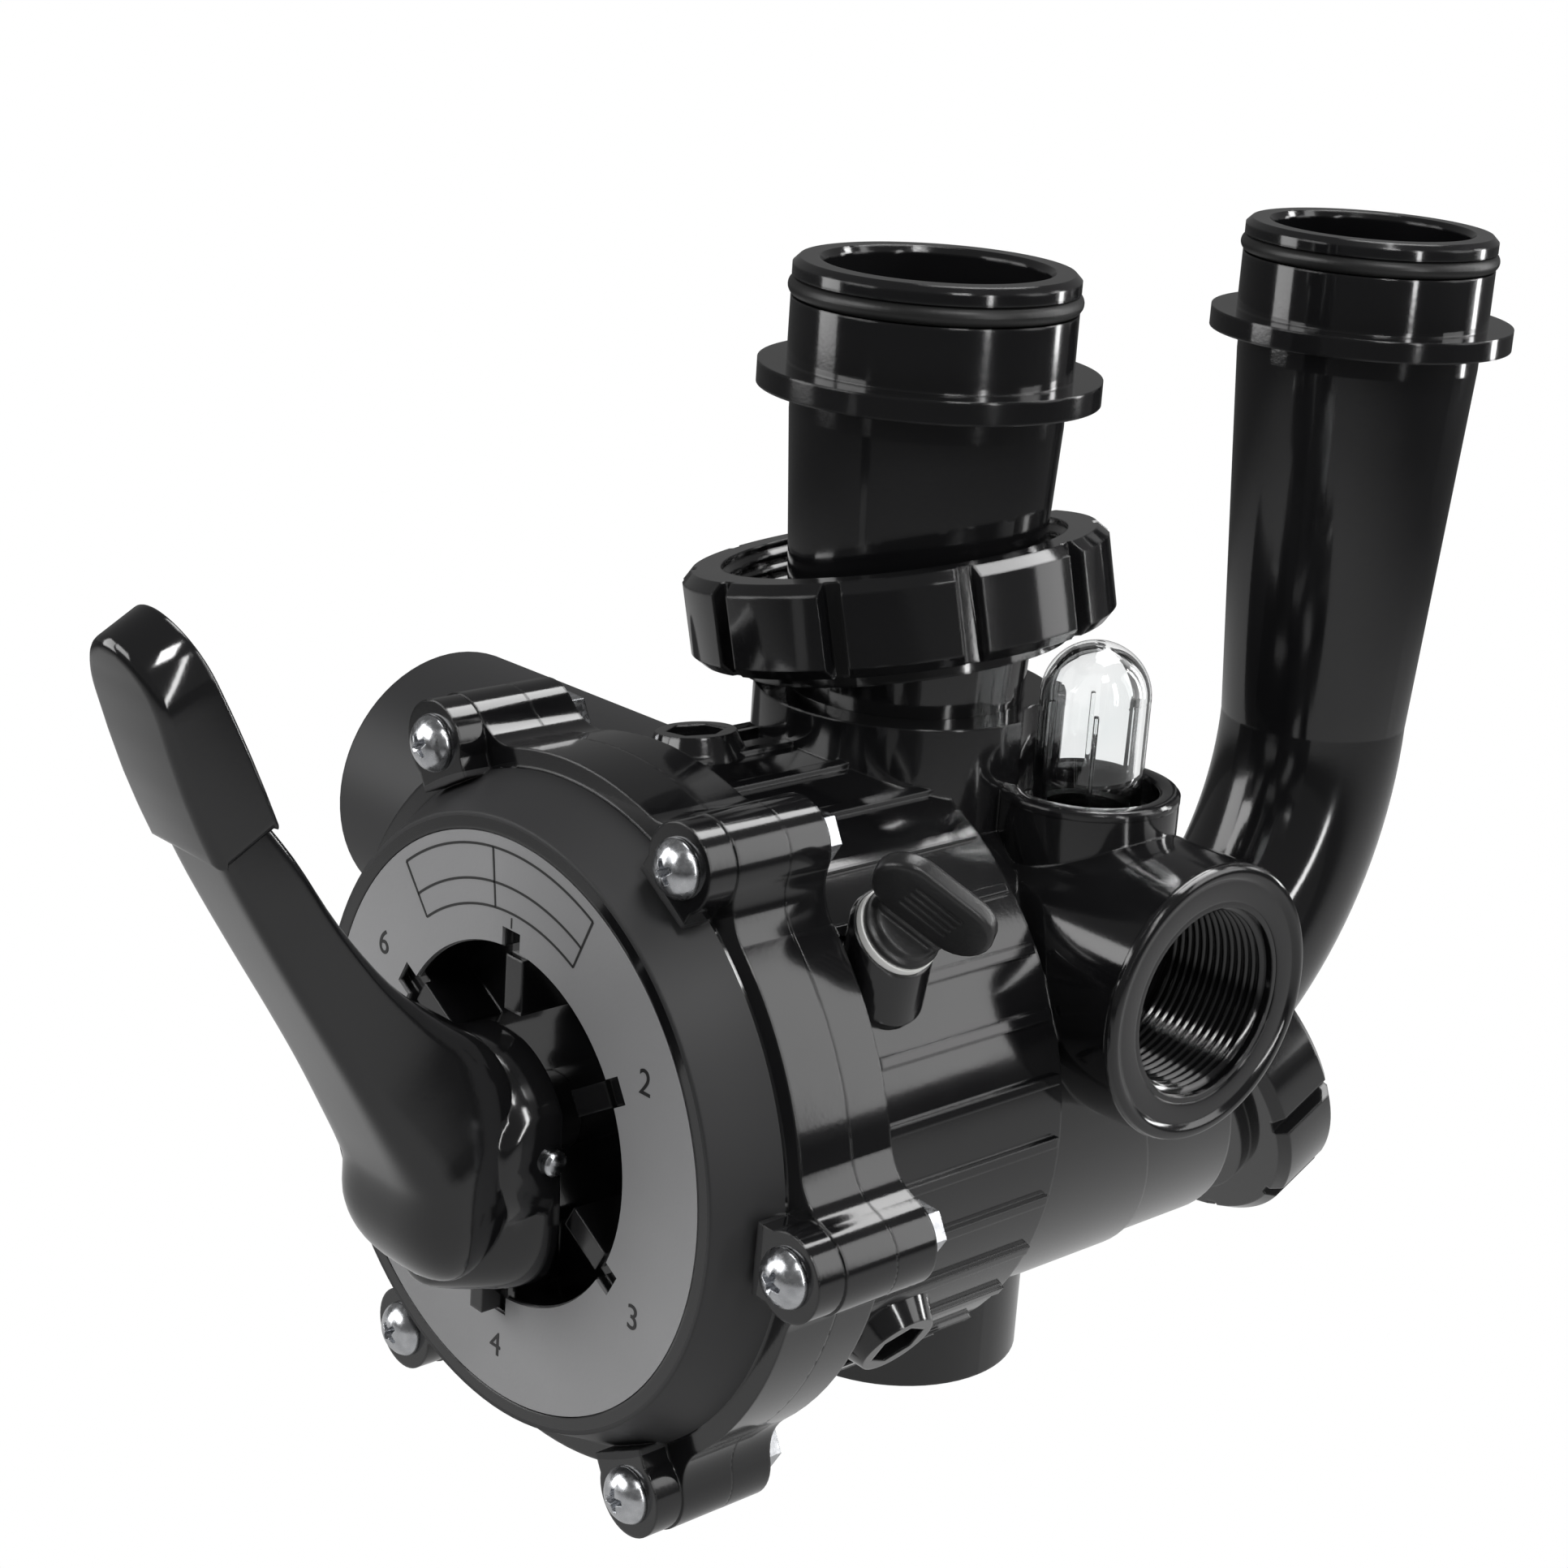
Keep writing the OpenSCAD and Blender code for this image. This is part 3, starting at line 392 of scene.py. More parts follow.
def make_finishes():
    f = {}
    f["gloss_black"] = moulded_plastic("glossy black moulding",
                                       (0.004, 0.004, 0.0045), (0.009, 0.009, 0.0095),
                                       rough=(0.07, 0.16), ripple=0.10, grain=0.05, coat=0.5, edge=0.0009)
    f["side_port_black"] = with_matte(f["gloss_black"], "black with a matte side port", side_port_mask)
    f["cover_black"] = with_matte(f["gloss_black"], "black with a matte cone", cone_mask)
    f["satin_black"] = moulded_plastic("satin black moulding",
                                       (0.010, 0.010, 0.0105), (0.018, 0.018, 0.0185),
                                       rough=(0.26, 0.38), ripple=0.05, grain=0.25, edge=0.0009)
    f["dial_grey"] = moulded_plastic("dial print grey", (0.27, 0.27, 0.275), (0.31, 0.31, 0.315),
                                     rough=(0.38, 0.5), ripple=0.02, grain=0.2)
    f["black_rubber"] = moulded_plastic("O-ring rubber", (0.006, 0.006, 0.006), (0.012, 0.012, 0.012),
                                        rough=(0.32, 0.48), ripple=0.05, grain=0.2)
    f["white_seal"] = moulded_plastic("white seal", (0.82, 0.82, 0.80), (0.92, 0.92, 0.90),
                                      rough=(0.4, 0.55), ripple=0.02, grain=0.1, edge=0.0006)
    f["ink"] = moulded_plastic("printing ink", (0.012, 0.012, 0.012), (0.02, 0.02, 0.02),
                               rough=(0.4, 0.5), ripple=0.01, grain=0.1)
    f["steel"] = screw_steel("plated steel")
    f["clear_plastic"] = clear_moulding("clear sight moulding")
    return f


def dress_nodes():
    """Gives each CAD node its special finish, or else the finish of its slot in the record."""
    slot_of = {s["node"]: s["material_slot"] for s in frame["record"]["subparts"]}
    for name, obj in frame["nodes"].items():
        mesh = obj.data
        mesh.materials.clear()
        mesh.materials.append(finishes[SPECIAL_FINISH.get(name, slot_of[name])])


# ---------------------------------------------------------------------------------------------
# Making pieces
# ---------------------------------------------------------------------------------------------

def piece(name, bm, finish, body, node=None, sharp=35):
    """Turns a bmesh into a piece that rides on a body, and stands for a node if one is named."""
    bmesh.ops.remove_doubles(bm, verts=bm.verts, dist=SAME_POINT)
    bmesh.ops.recalc_face_normals(bm, faces=bm.faces)
    mesh = bpy.data.meshes.new(name)
    bm.to_mesh(mesh)
    bm.free()
    obj = bpy.data.objects.new(name, mesh)
    bpy.context.scene.collection.objects.link(obj)
    mesh.materials.append(finishes[finish])
    mesh.shade_smooth()
    mesh.set_sharp_from_angle(angle=math.radians(sharp))
    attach(obj, body)
    if node:
        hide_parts(node)
    return obj


def stand(origin, z_way, x_way=(1, 0, 0)):
    """The matrix that puts +Z along z_way at origin, with +X as near x_way as it goes."""
    z = Vector(z_way).normalized()
    x = Vector(x_way)
    x = (x - z * x.dot(z)).normalized()
    turn = Matrix((x, z.cross(x), z)).transposed().to_4x4()
    return Matrix.Translation(origin) @ turn


def rounded_edges(bm, edges, size, segments):
    """Rounds edges over a size in millimetres."""
    bmesh.ops.bevel(bm, geom=edges, offset=size * MM, segments=segments, profile=0.5,
                    affect="EDGES", material=-1)


def turned(outline, steps=96, matrix=Matrix()):
    """Spins a closed outline of (radius, height), in millimetres, round Z."""
    bm = bmesh.new()
    points = [bm.verts.new((r * MM, 0, h * MM)) for r, h in outline]
    edges = [bm.edges.new(pair) for pair in zip(points, points[1:] + points[:1])]
    bmesh.ops.spin(bm, geom=points + edges, cent=(0, 0, 0), axis=(0, 0, 1),
                   angle=2 * math.pi, steps=steps, use_merge=True)
    bmesh.ops.remove_doubles(bm, verts=bm.verts, dist=SAME_POINT)
    bmesh.ops.transform(bm, matrix=matrix, verts=bm.verts)
    return bm


def slab(outline, low, high, rim_top=0.0, rim_bottom=0.0, segments=3):
    """A plate of (x, y) outline between two heights, in millimetres, with rounded rims."""
    bm = bmesh.new()
    base = bm.faces.new([bm.verts.new((x * MM, y * MM, low * MM)) for x, y in outline])
    made = bmesh.ops.extrude_face_region(bm, geom=[base])
    top = [g for g in made["geom"] if isinstance(g, bmesh.types.BMVert)]
    bmesh.ops.translate(bm, verts=top, vec=(0, 0, (high - low) * MM))
    bmesh.ops.recalc_face_normals(bm, faces=bm.faces)
    for height, size in ((high, rim_top), (low, rim_bottom)):
        if size:
            rim = [e for e in bm.edges
                   if all(abs(v.co.z - height * MM) < SAME_POINT for v in e.verts)]
            rounded_edges(bm, rim, size, segments)
    return bm


def ring(bm, middle, across, through, power, count=56):
    """A closed ring round a middle point, from a round shape at power 2 to a square one above."""
    made = bmesh.ops.create_circle(bm, segments=count, radius=1.0)
    for v in made["verts"]:
        a = math.atan2(v.co.y, v.co.x)
        c, s = math.cos(a), math.sin(a)
        v.co = (middle + across * math.copysign(abs(c) ** (2 / power), c)
                + through * math.copysign(abs(s) ** (2 / power), s))
    return list({e for v in made["verts"] for e in v.link_edges})


def skin(bm, rings):
    """Bridges each ring of edges to the next, and closes both ends."""
    for first, second in zip(rings, rings[1:]):
        bmesh.ops.bridge_loops(bm, edges=first + second)
    for edges in (rings[0], rings[-1]):
        bmesh.ops.contextual_create(bm, geom=edges)


def between(stations, steps=4):
    """Smooth values through the stations, each a tuple of numbers."""
    out = []
    for i in range(len(stations) - 1):
        a, b = stations[max(i - 1, 0)], stations[i]
        c, d = stations[i + 1], stations[min(i + 2, len(stations) - 1)]
        for k in range(steps):
            t = k / steps
            out.append(tuple(0.5 * (2 * q + (r - p) * t + (2 * p - 5 * q + 4 * r - s) * t * t
                                    + (3 * q - p - 3 * r + s) * t ** 3) for p, q, r, s in zip(a, b, c, d)))
    return out + [stations[-1]]


def as_object(bm, name):
    """Puts a bmesh in the scene as an object, and frees it."""
    mesh = bpy.data.meshes.new(name)
    bmesh.ops.recalc_face_normals(bm, faces=bm.faces)
    bm.to_mesh(mesh)
    bm.free()
    obj = bpy.data.objects.new(name, mesh)
    bpy.context.scene.collection.objects.link(obj)
    return obj


def shape_of(obj):
    """The object's finished mesh as a bmesh. Modifiers and text are worked out."""
    shape = bpy.data.meshes.new_from_object(obj.evaluated_get(bpy.context.evaluated_depsgraph_get()))
    bm = bmesh.new()
    bm.from_mesh(shape)
    bpy.data.meshes.remove(shape)
    return bm


def joined(base, *steps):
    """Adds and cuts closed shapes: each step is ("UNION" or "DIFFERENCE", bmesh)."""
    body = as_object(base, "base")
    tools = []
    for operation, bm in steps:
        tool = as_object(bm, "tool")
        tools.append(tool)
        change = body.modifiers.new("step", "BOOLEAN")
        change.operation = operation
        change.solver = "EXACT"
        change.object = tool
    bm = shape_of(body)
    for obj in tools + [body]:
        mesh = obj.data
        bpy.data.objects.remove(obj)
        bpy.data.meshes.remove(mesh)
    return bm


def gathered(shapes):
    """Several shapes in one mesh, as they are."""
    out = bmesh.new()
    for bm in shapes:
        mesh = bpy.data.meshes.new("shape")
        bm.to_mesh(mesh)
        bm.free()
        out.from_mesh(mesh)
        bpy.data.meshes.remove(mesh)
    return out


def repeated(bm, matrices):
    """The shape once at each matrix, in one mesh."""
    copies = []
    for matrix in matrices:
        copy = bm.copy()
        bmesh.ops.transform(copy, matrix=matrix, verts=copy.verts)
        copies.append(copy)
    bm.free()
    return gathered(copies)


def box_mesh(low, high):
    """A block between two corners given in millimetres from the dial's centre."""
    bm = bmesh.new()
    a, b = at(*low), at(*high)
    made = bmesh.ops.create_cube(bm, size=1.0)
    bmesh.ops.scale(bm, vec=b - a, verts=made["verts"])
    bmesh.ops.translate(bm, vec=(a + b) / 2, verts=made["verts"])
    return bm


def stadium(half_length, half_width, steps=12):
    """Outline of a bar with round ends, along X."""
    out = []
    for side in (1, -1):
        for k in range(steps + 1):
            a = -math.pi / 2 + math.pi * k / steps
            out.append((side * (half_length - half_width + half_width * math.cos(a)),
                        side * half_width * math.sin(a)))
    return out


# ---------------------------------------------------------------------------------------------
# Handle and grip
# ---------------------------------------------------------------------------------------------

SLOPE = math.radians(30)
PIN_Y = -3.0
PIN_HOLE_R = 3.05
PIN_END_X = 23
HUB_R = 24.2
HUB_HALF = 21.5
BACK_Y = -0.5
GRIP_LOW, GRIP_HIGH, GRIP_HALF = 110.0, 160.0, 13.5
GRIP_DEPTH = 16
GRIP_TIP = 15.0
GRIP_SLICE = 2.5


def arm_point(along, out):
    """(y, z) of a point along the arm and out from the line through the pin, in millimetres."""
    return (-out * math.cos(SLOPE) - along * math.sin(SLOPE),
            along * math.cos(SLOPE) - out * math.sin(SLOPE))


def arm_loft():
    """The arm from the grip down over the front of the hub."""
    # outer point, inner point, half width, squareness
    stations = [(*arm_point(116, 29.4), *arm_point(116, 17.5), 11.0, 9.0),
                (*arm_point(100, 30.2), *arm_point(100, 15.4), 11.6, 9.5),
                (*arm_point(80, 30.4), *arm_point(80, 14.2), 11.8, 9.5),
                (*arm_point(60, 30.3), *arm_point(60, 10.8), 12.3, 9.0),
                (*arm_point(44, 30.4), *arm_point(44, 5.0), 13.6, 8.0),
                (*arm_point(30, 30.9), *arm_point(32, -1.0), 15.8, 6.5),
                (*arm_point(18, 31.6), -9.0, 19.0, 18.2, 5.0),
                (-34.6, -6.0, -7.0, 8.0, 20.0, 3.6),
                (-34.6, -15.0, -6.5, -1.0, 20.6, 3.2),
                (-32.0, -22.0, -7.0, -8.0, 20.2, 3.0),
                (-27.5, -27.0, -9.0, -15.0, 18.0, 2.8),
                (-22.0, -29.0, -12.0, -21.0, 13.0, 2.5)]
    bm = bmesh.new()
    rings = []
    for y0, z0, y1, z1, half, power in between(stations):
        front, back = at(0, y0, z0), at(0, y1, z1)
        rings.append(ring(bm, (front + back) / 2, Vector((half * MM, 0, 0)), (front - back) / 2, power))
    skin(bm, rings)
    return bm


def keel_loft():
    """The rounded keel under the hub."""
    # distance forward, middle height, half width, half height, squareness
    stations = [(BACK_Y, -13.0, 22.0, 24.0, 2.6),
                (-7.0, -13.5, 20.0, 23.2, 2.5),
                (-15.0, -15.5, 13.5, 20.0, 2.4),
                (-22.0, -17.5, 8.5, 15.5, 2.6),
                (-23.4, -17.5, 6.5, 13.5, 2.4)]
    bm = bmesh.new()
    rings = []
    for y, z, half, height, power in between(stations):
        rings.append(ring(bm, at(0, y, z), Vector((half * MM, 0, 0)), Vector((0, 0, height * MM)), power))
    skin(bm, rings)
    return bm


def make_handle():
    """The hub with its arm, keel and tooth, flat behind, with room for the stem and the pin."""
    far = 60
    ball = bmesh.new()
    bmesh.ops.create_uvsphere(ball, u_segments=64, v_segments=40, radius=HUB_R * MM)
    bmesh.ops.rotate(ball, cent=(0, 0, 0), matrix=Matrix.Rotation(math.pi / 2, 3, "Y"), verts=ball.verts)
    bmesh.ops.translate(ball, vec=at(0, PIN_Y, 0), verts=ball.verts)
    sides = [("DIFFERENCE", box_mesh((side * HUB_HALF, -far, -far), (side * far, far, far)))
             for side in (-1, 1)]
    tooth = box_mesh((-2.2, -6.0, -44.6), (2.2, BACK_Y, -34))
    back = box_mesh((-80, BACK_Y, -80), (80, far, 80))
    stem_pocket = box_mesh((-9.3, -15, -14), (9.3, 10, 14))
    pin_hole = turned([(0, -30), (PIN_HOLE_R, -30), (PIN_HOLE_R, 30), (0, 30)], 32,
                      stand(at(0, PIN_Y, 0), (1, 0, 0), (0, 0, 1)))
    bm = joined(ball, *sides, ("UNION", keel_loft()), ("UNION", arm_loft()), ("UNION", tooth),
                ("DIFFERENCE", back), ("DIFFERENCE", stem_pocket), ("DIFFERENCE", pin_hole))
    piece("handle_moulding", bm, "gloss_black", "lever", "handle", 40)


def make_pin_end():
    """The domed end of the pin in the hub's side."""
    end = stand(at(PIN_END_X, PIN_Y, 0), (1, 0, 0), (0, 0, 1))
    dome = [(0, -1), (2.9, -1), (2.9, 0.1), (2.4, 0.7), (1.4, 1.05), (0, 1.2)]
    piece("pin_end", turned(dome, 32, end), "steel", "lever", None, 30)


def level(table, along):
    """The value at a place along a table of (place, value)."""
    for (s0, n0), (s1, n1) in zip(table, table[1:]):
        if along <= s1:
            return n0 + (n1 - n0) * max(along - s0, 0) / (s1 - s0)
    return table[-1][1]


def make_grip():
    """The grip: a slab with rounded rims, laid along the arm and thinned towards its tip."""
    # how far out the grip's faces stand from the line through the pin, along the arm
    front = ((110, 31.7), (119, 31.0), (128, 29.9), (137, 28.3), (144, 26.8), (152, 25.2), (160, 24.0))
    rear = ((110, 15.8), (119, 14.6), (127, 13.7), (136, 12.9), (144, 12.4), (152, 12.0), (160, 11.7))
    outline = [(-GRIP_HALF, GRIP_LOW), (GRIP_HALF, GRIP_LOW)]
    for k in range(33):
        a = math.pi * k / 32
        outline.append((GRIP_HALF * math.cos(a), GRIP_HIGH - GRIP_TIP + GRIP_TIP * math.sin(a)))
    bm = slab(outline, 0, GRIP_DEPTH, 2.6, 1.2, 5)
    corners = [e for e in bm.edges if abs(e.verts[0].co.z - e.verts[1].co.z) > GRIP_DEPTH / 2 * MM
               and all(v.co.y < (GRIP_LOW + 0.1) * MM for v in e.verts)]
    rounded_edges(bm, corners, 2.0, 4)
    slices = round((GRIP_HIGH - GRIP_LOW) / GRIP_SLICE)
    for k in range(1, slices):
        bmesh.ops.bisect_plane(bm, geom=bm.verts[:] + bm.edges[:] + bm.faces[:],
                               plane_co=(0, (GRIP_LOW + k * GRIP_SLICE) * MM, 0), plane_no=(0, 1, 0))
    for v in bm.verts:
        x, along, share = v.co.x / MM, v.co.y / MM, v.co.z / MM / GRIP_DEPTH
        low, high = level(rear, along), level(front, along)
        v.co = at(x, *arm_point(along, low + (high - low) * share))
    piece("grip_moulding", bm, "gloss_black", "lever", "handle_grip", 30)


# ---------------------------------------------------------------------------------------------
# Dial
# ---------------------------------------------------------------------------------------------

INK_OUT = 0.12
LINE = 0.55
BOX_RADII = (64.4, 56.4, 50.6)
BOX_ANGLES = (64.0, 128.4, 96.8)
FIGURE_R, FIGURE_SIZE = 55.5, 8.5
TOP_FIGURE_R, TOP_FIGURE_SIZE = 48.2, 3.6


def dial_arc(radius, start, end):
    """A printed arc, between two angles in degrees."""
    steps = max(2, int(abs(end - start) / 2))
    angles = [math.radians(start + (end - start) * k / steps) for k in range(steps + 1)]
    rows = ((radius - LINE / 2, angles), (radius + LINE / 2, angles[::-1]))
    return slab([(r * math.cos(a), r * math.sin(a)) for r, row in rows for a in row], 0, INK_OUT)


def dial_spoke(low, high, degrees):
    """A printed line between two radii."""
    middle = math.radians(degrees)
    half = LINE / 2 / ((low + high) / 2)
    corners = ((low, middle - half), (high, middle - half), (high, middle + half), (low, middle + half))
    return slab([(r * math.cos(a), r * math.sin(a)) for r, a in corners], 0, INK_OUT)


def figure_mesh(text, size):
    """A plain figure, as thick as the ink, middle on the origin."""
    curve = bpy.data.curves.new("figure", "FONT")
    curve.body = text
    curve.size = size * MM
    curve.extrude = INK_OUT / 2 * MM
    curve.align_x = "CENTER"
    curve.align_y = "CENTER"
    obj = bpy.data.objects.new("figure", curve)
    bpy.context.scene.collection.objects.link(obj)
    bm = shape_of(obj)
    bpy.data.objects.remove(obj)
    bpy.data.curves.remove(curve)
    return bm


def make_dial_print():
    """Plain ruled boxes at the top of the dial, and the figures 1 to 6."""
    face = stand(at(0, 0, 0), (0, -1, 0))
    right, left, _ = BOX_ANGLES
    arcs = [dial_arc(r, right, left) for r in BOX_RADII]
    spokes = [dial_spoke(BOX_RADII[-1], BOX_RADII[0], a) for a in BOX_ANGLES]
    ink = gathered(arcs + spokes)
    bmesh.ops.transform(ink, matrix=face, verts=ink.verts)
    piece("dial_lines", ink, "ink", "housing")
    for number in range(1, 7):
        r, size = (TOP_FIGURE_R, TOP_FIGURE_SIZE) if number == 1 else (FIGURE_R, FIGURE_SIZE)
        angle = math.radians(90 - 60 * (number - 1))
        place = Matrix.Translation((r * MM * math.cos(angle), r * MM * math.sin(angle), INK_OUT / 2 * MM))
        bm = figure_mesh(str(number), size)
        bmesh.ops.transform(bm, matrix=face @ place, verts=bm.verts)
        piece("dial_figure_%d" % number, bm, "ink", "housing")


# ---------------------------------------------------------------------------------------------
# Screws, threads and rims
# ---------------------------------------------------------------------------------------------

LUG_ANGLES = [58 - 60 * k for k in range(6)]
LUG_R = 87.6
HEAD_Y = 7.5
HEAD_TURNS = (28, 71, 12, 50, 83, 37)
CROSS_FOOT, CROSS_TOP, CROSS_TAPER = 1.6, 6.0, 0.45

PORT_WALL_R, PORT_THREAD_H, PORT_PITCH = 22.98, 1.35, 2.2
PORT_THREAD_START, PORT_TURNS = -30.5, 13
NUT_WALL_R, NUT_THREAD_H, NUT_PITCH = 41.48, 1.3, 3.4
NUT_THREAD_START, NUT_TURNS = -7.5, 5
ROOT_IN, ROOT_STEP = 0.06, 0.02
CREST_FROM, CREST_TO = 0.42, 0.58
WASTE_R = 33.5


def make_screws():
    """Six pan-head screws, each with a cross cut in its head."""
    head = [(0, 4.7), (1.6, 4.62), (3.2, 4.2), (4.8, 3.35), (5.9, 2.3), (6.6, 1.2), (6.8, 0.5), (6.7, 0),
            (3.0, 0), (3.0, -41.5), (2.4, -42.6), (0, -42.6)]
    cross = []
    for quarter in range(4):
        a = math.pi / 2 * quarter
        for x, y in ((3.6, -0.8), (3.6, 0.8), (1.15, 1.15)):
            cross.append((x * math.cos(a) - y * math.sin(a), x * math.sin(a) + y * math.cos(a)))
    cut = slab(cross, CROSS_FOOT, CROSS_TOP)
    for v in cut.verts:
        if v.co.z < (CROSS_FOOT + CROSS_TOP) / 2 * MM:
            v.co.x *= CROSS_TAPER
            v.co.y *= CROSS_TAPER
    screw = joined(turned(head, 48), ("DIFFERENCE", cut))
    places = []
    for degrees, turn in zip(LUG_ANGLES, HEAD_TURNS):
        a = math.radians(degrees)
        way = stand(at(LUG_R * math.cos(a), HEAD_Y, LUG_R * math.sin(a)), (0, -1, 0))
        places.append(way @ Matrix.Rotation(math.radians(turn), 4, "Z"))
    piece("pan_head_screws", repeated(screw, places), "steel", "housing", "flange_screws", 30)


def inside_thread(wall, height, start, pitch, turns, place):
    """Rings of an inside thread: their crests stand in from the wall."""
    end = start + pitch * turns
    outline = [(wall, end), (wall, start)]
    for k in range(turns):
        low = start + pitch * k
        outline += [(wall - ROOT_IN, low + ROOT_STEP), (wall - height, low + pitch * CREST_FROM),
                    (wall - height, low + pitch * CREST_TO)]
    return turned(outline + [(wall - ROOT_IN, end - ROOT_STEP)], 128, place)


def make_threads():
    """Threads inside the waste port, the bottom port and both union nuts."""
    waste = stand(at(*WASTE_END), (1, 0, 0), (0, 0, 1))
    bottom = stand(at(*BOTTOM_END), (0, 0, -1))
    for name, place in (("waste_port_thread", waste), ("bottom_port_thread", bottom)):
        bm = inside_thread(PORT_WALL_R, PORT_THREAD_H, PORT_THREAD_START, PORT_PITCH, PORT_TURNS, place)
        piece(name, bm, "gloss_black", "housing", None, 20)
    joints = {j["name"]: j for j in frame["record"]["behaviour"]["joints"]}
    for body in ("upper_nut", "lower_nut"):
        spin = joints[body + "_spin"]
        place = stand(spin["pos_m"], spin["axis"])
        bm = inside_thread(NUT_WALL_R, NUT_THREAD_H, NUT_THREAD_START, NUT_PITCH, NUT_TURNS, place)
        piece(body + "_thread", bm, "gloss_black", body, None, 20)


def make_rims():
    """Rounded rims of the waste port and the sight glass socket."""
    waste = stand(at(*WASTE_END), (1, 0, 0), (0, 0, 1))
    rim = [(24.4, -1.2), (24.4, 0.15), (25.0, 0.35), (29.6, 0.35), (30.3, 0.9), (31.2, 1.25),
           (WASTE_R - 1.6, 1.25), (WASTE_R - 0.5, 0.8), (WASTE_R + 0.1, -0.3), (WASTE_R + 0.1, -1.2)]
    piece("waste_port_rim", turned(rim, 128, waste), "gloss_black", "housing", None, 30)
    socket = stand(at(*SOCKET_TOP), (0, 0, 1))
    rim = [(17.35, -1.5), (17.35, 0.1), (17.8, 0.7), (18.6, 1.0),
           (20.6, 1.0), (21.5, 0.7), (22.1, 0.0), (22.1, -1.5)]
    piece("socket_rim", turned(rim, 96, socket), "gloss_black", "housing", None, 30)


# ---------------------------------------------------------------------------------------------
# Wing plug, sight glass, spring and inner webs
# ---------------------------------------------------------------------------------------------

PLUG_ANGLE = math.radians(41)
PLUG_LEAN = math.radians(42)
PLUG_SEAT_R, PLUG_Y, PLUG_LIFT = 86, 54, 1.85
WING_TURN = math.radians(38)
WING_HALF_LENGTH, WING_HALF_THICK, WING_MIDDLE = 15.1, 2.5, 13.2
GRIP_LINES, GRIP_LINE_PITCH = 4, 2.1
GLASS_FOOT_Z, GLASS_RIB_R, GLASS_RIB_HEIGHT, GLASS_RIBS = 58.5, 10.0, 32, 4
WIRE_R, COIL_TURNS, COIL_STEPS = 1.6, 3, 40
WEB_HALF_THICK, WEB_GAP, CHAMBER_R, CHAMBER_BACK = 1.5, 0.5, 25, 151
NECK_FRONT, NECK_BACK, NECK_LOW, NECK_HIGH = 93, 139, 20, 48


def wing():
    """The flat wing with grip lines cut in both faces."""
    flat = slab(stadium(WING_HALF_LENGTH, 8.05), -WING_HALF_THICK, WING_HALF_THICK, 1.2, 1.2, 4)
    cuts = []
    for side in (-1, 1):
        for k in range(GRIP_LINES):
            line = slab(stadium(6.2, 0.42, 4), -0.45, 0.45)
            across = (k - (GRIP_LINES - 1) / 2) * GRIP_LINE_PITCH
            face = (0, across * MM, side * WING_HALF_THICK * MM)
            bmesh.ops.translate(line, vec=face, verts=line.verts)
            cuts.append(("DIFFERENCE", line))
    return joined(flat, *cuts)


def make_plug():
    """The wing plug: a shaft with a collar, and a wing on a rib across it."""
    way = (math.cos(PLUG_LEAN), 0, math.sin(PLUG_LEAN))
    side = (math.sin(PLUG_LEAN), 0, -math.cos(PLUG_LEAN))
    seat = at(PLUG_SEAT_R * math.cos(PLUG_ANGLE), PLUG_Y, PLUG_SEAT_R * math.sin(PLUG_ANGLE))
    shaft = turned([(0, -12), (5.9, -12), (5.9, 0), (9.0, 0), (9.6, 0.4), (9.6, 1.6),
                    (8.5, 2.2), (8.1, 3.6), (7.4, 4.0), (0, 4.0)], 64)
    turn = Matrix.Rotation(WING_TURN, 4, "Z")
    fin = wing()
    upright = Matrix.Translation((0, 0, WING_MIDDLE * MM)) @ Matrix.Rotation(math.pi / 2, 4, "X")
    bmesh.ops.transform(fin, matrix=turn @ upright, verts=fin.verts)
    rib = slab(stadium(9.1, 2.9), 2.0, 5.6, 0.5)
    bmesh.ops.transform(rib, matrix=turn, verts=rib.verts)
    bm = joined(shaft, ("UNION", fin), ("UNION", rib))
    place = stand(seat, way, side) @ Matrix.Translation((0, 0, PLUG_LIFT * MM))
    bmesh.ops.transform(bm, matrix=place, verts=bm.verts)
    piece("wing_plug_moulding", bm, "satin_black", "plug", "wing_plug", 32)


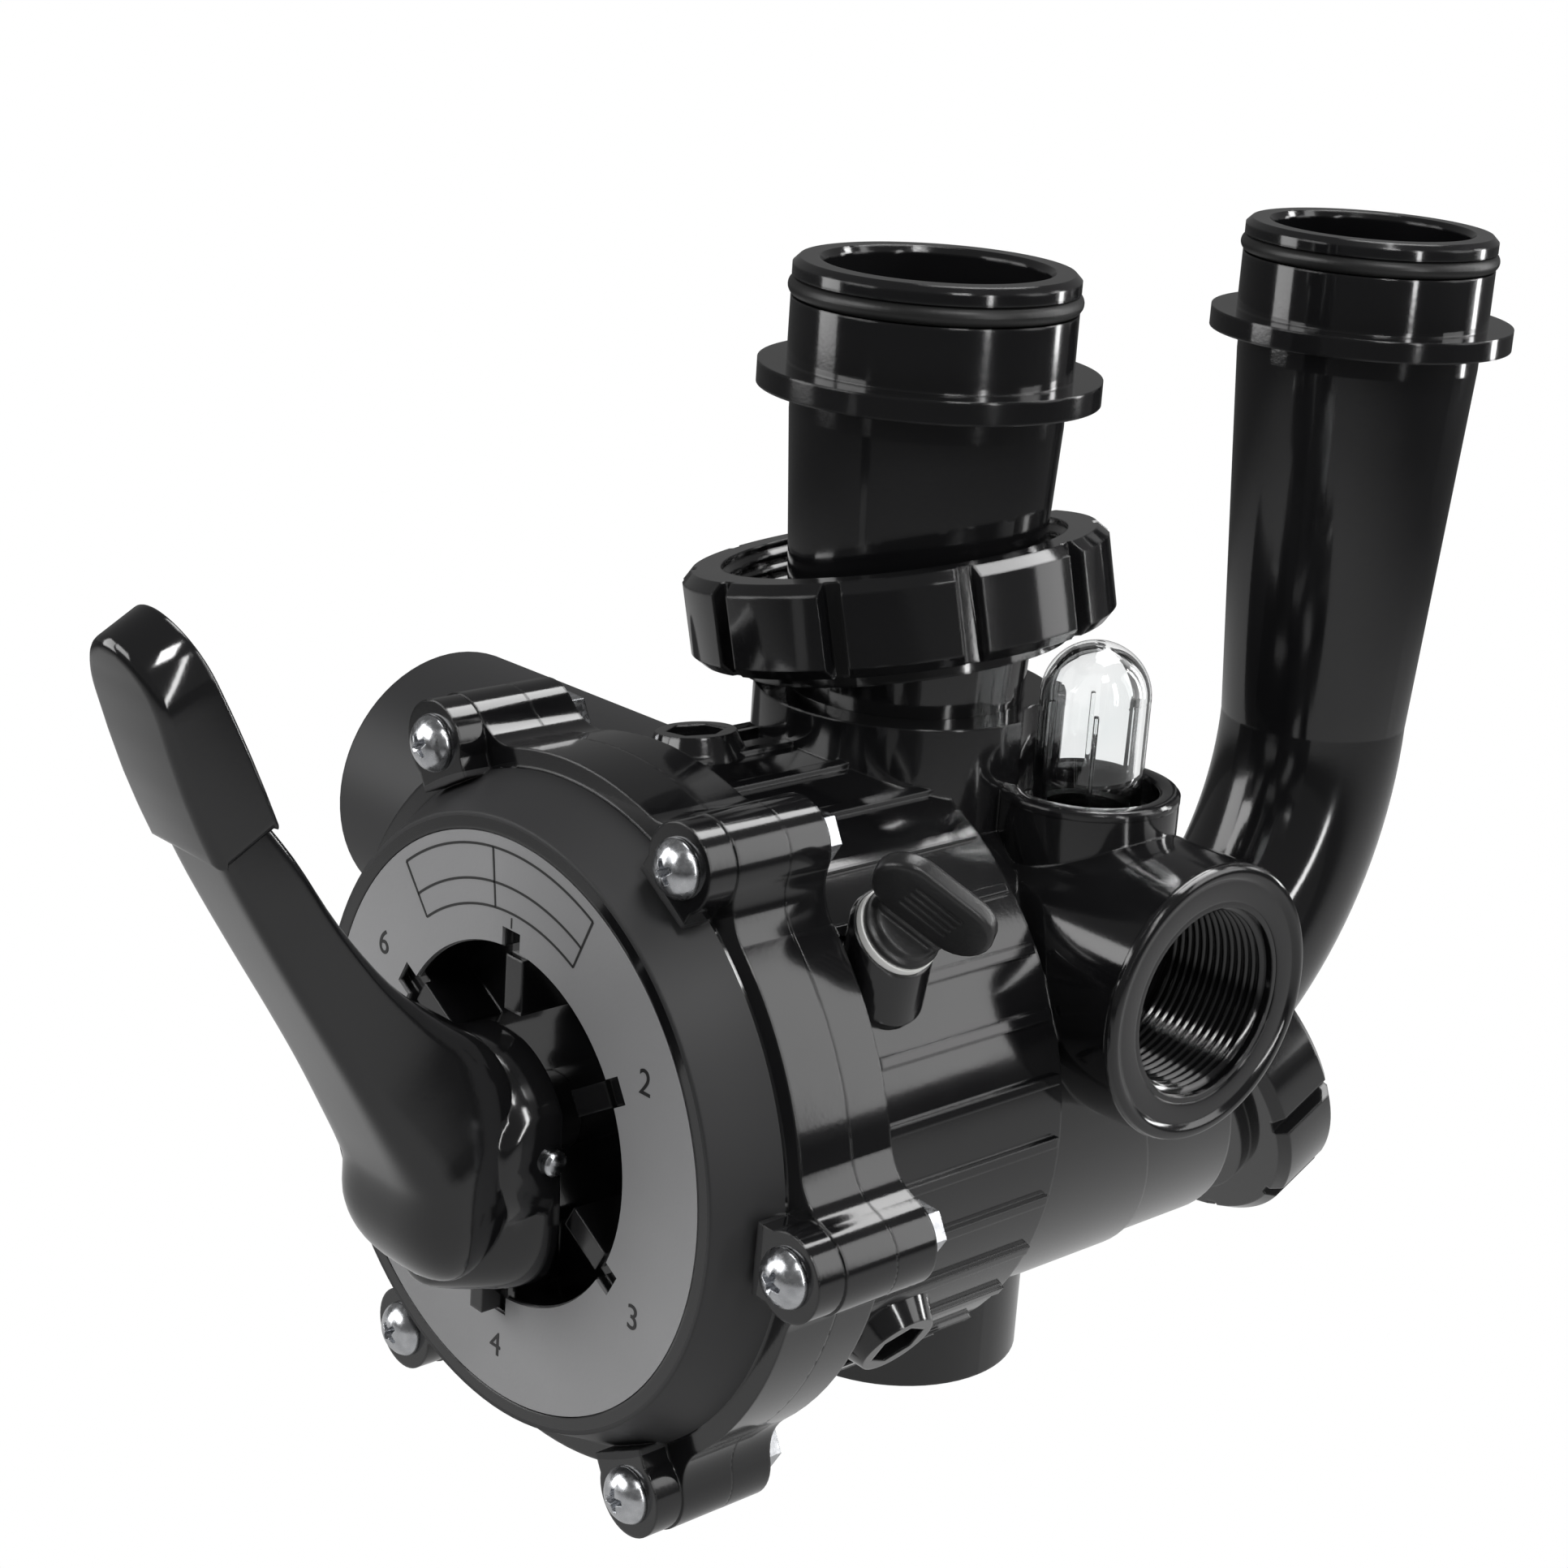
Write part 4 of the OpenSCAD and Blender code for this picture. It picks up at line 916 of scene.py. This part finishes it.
def make_glass_ribs():
    """Upright ribs on the inside of the sight glass."""
    foot = Matrix.Translation(at(SOCKET_TOP[0], SOCKET_TOP[1], GLASS_FOOT_Z))
    out = Matrix.Translation((GLASS_RIB_R * MM, 0, 0))
    places = []
    for k in range(GLASS_RIBS):
        turn = Matrix.Rotation(math.radians(45 + 360 / GLASS_RIBS * k), 4, "Z")
        places.append(foot @ turn @ out)
    rib = slab(stadium(1.0, 0.6, 6), 0, GLASS_RIB_HEIGHT, 0.3)
    piece("sight_glass_ribs", repeated(rib, places), "clear_plastic", "glass")


def make_spring():
    """The coil that holds the key on its seat, which on the real valve shortens as the key lifts off it.
    Here it is built at one length, with a mesh of its own.
    """
    low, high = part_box("key_spring")
    wire_r = WIRE_R * MM
    coil_r = (high[0] - low[0]) / 2 - wire_r
    length = high[1] - low[1]
    pitch = (length - 2 * wire_r) / COIL_TURNS
    middle = Vector(((low[0] + high[0]) / 2, low[1] + wire_r, AXIS_Z))
    start = Matrix.Translation(middle + Vector((coil_r, 0, 0)))
    bm = bmesh.new()
    bmesh.ops.create_circle(bm, segments=16, radius=wire_r, matrix=start)
    bmesh.ops.spin(bm, geom=bm.verts[:] + bm.edges[:], cent=middle, axis=(0, 1, 0),
                   dvec=(0, pitch / COIL_STEPS, 0), angle=2 * math.pi * COIL_TURNS,
                   steps=COIL_TURNS * COIL_STEPS, use_merge=False)
    bmesh.ops.holes_fill(bm, edges=[e for e in bm.edges if e.is_boundary])
    spring = piece("key_spring_coil", bm, "steel", "selector", "key_spring", 40)
    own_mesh(spring)


def make_chamber_walls():
    """Crossed webs that part the passages behind the key, seen down the ports."""
    half = WEB_HALF_THICK
    front = (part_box("spider_gasket")[1][1] - DIAL_Y) / MM + WEB_GAP
    upright = box_mesh((-half, front, -CHAMBER_R), (half, CHAMBER_BACK, CHAMBER_R))
    in_neck = box_mesh((-half, NECK_FRONT, NECK_LOW), (half, NECK_BACK, NECK_HIGH))
    flat = box_mesh((-CHAMBER_R, front, -half), (CHAMBER_R, CHAMBER_BACK, half))
    for web in (upright, in_neck, flat):
        rounded_edges(web, web.edges[:], 0.6, 3)
    bm = joined(upright, ("UNION", in_neck), ("UNION", flat))
    piece("chamber_walls", bm, "gloss_black", "housing", None, 30)


finishes = make_finishes()
make_camera()
make_floor()
make_world()
make_lights()
dress_nodes()
make_handle()
make_grip()
make_dial_print()
make_screws()
make_threads()
make_plug()
make_glass_ribs()
make_rims()
make_pin_end()
make_spring()
make_chamber_walls()

bpy.context.scene.view_settings.view_transform = "Standard"
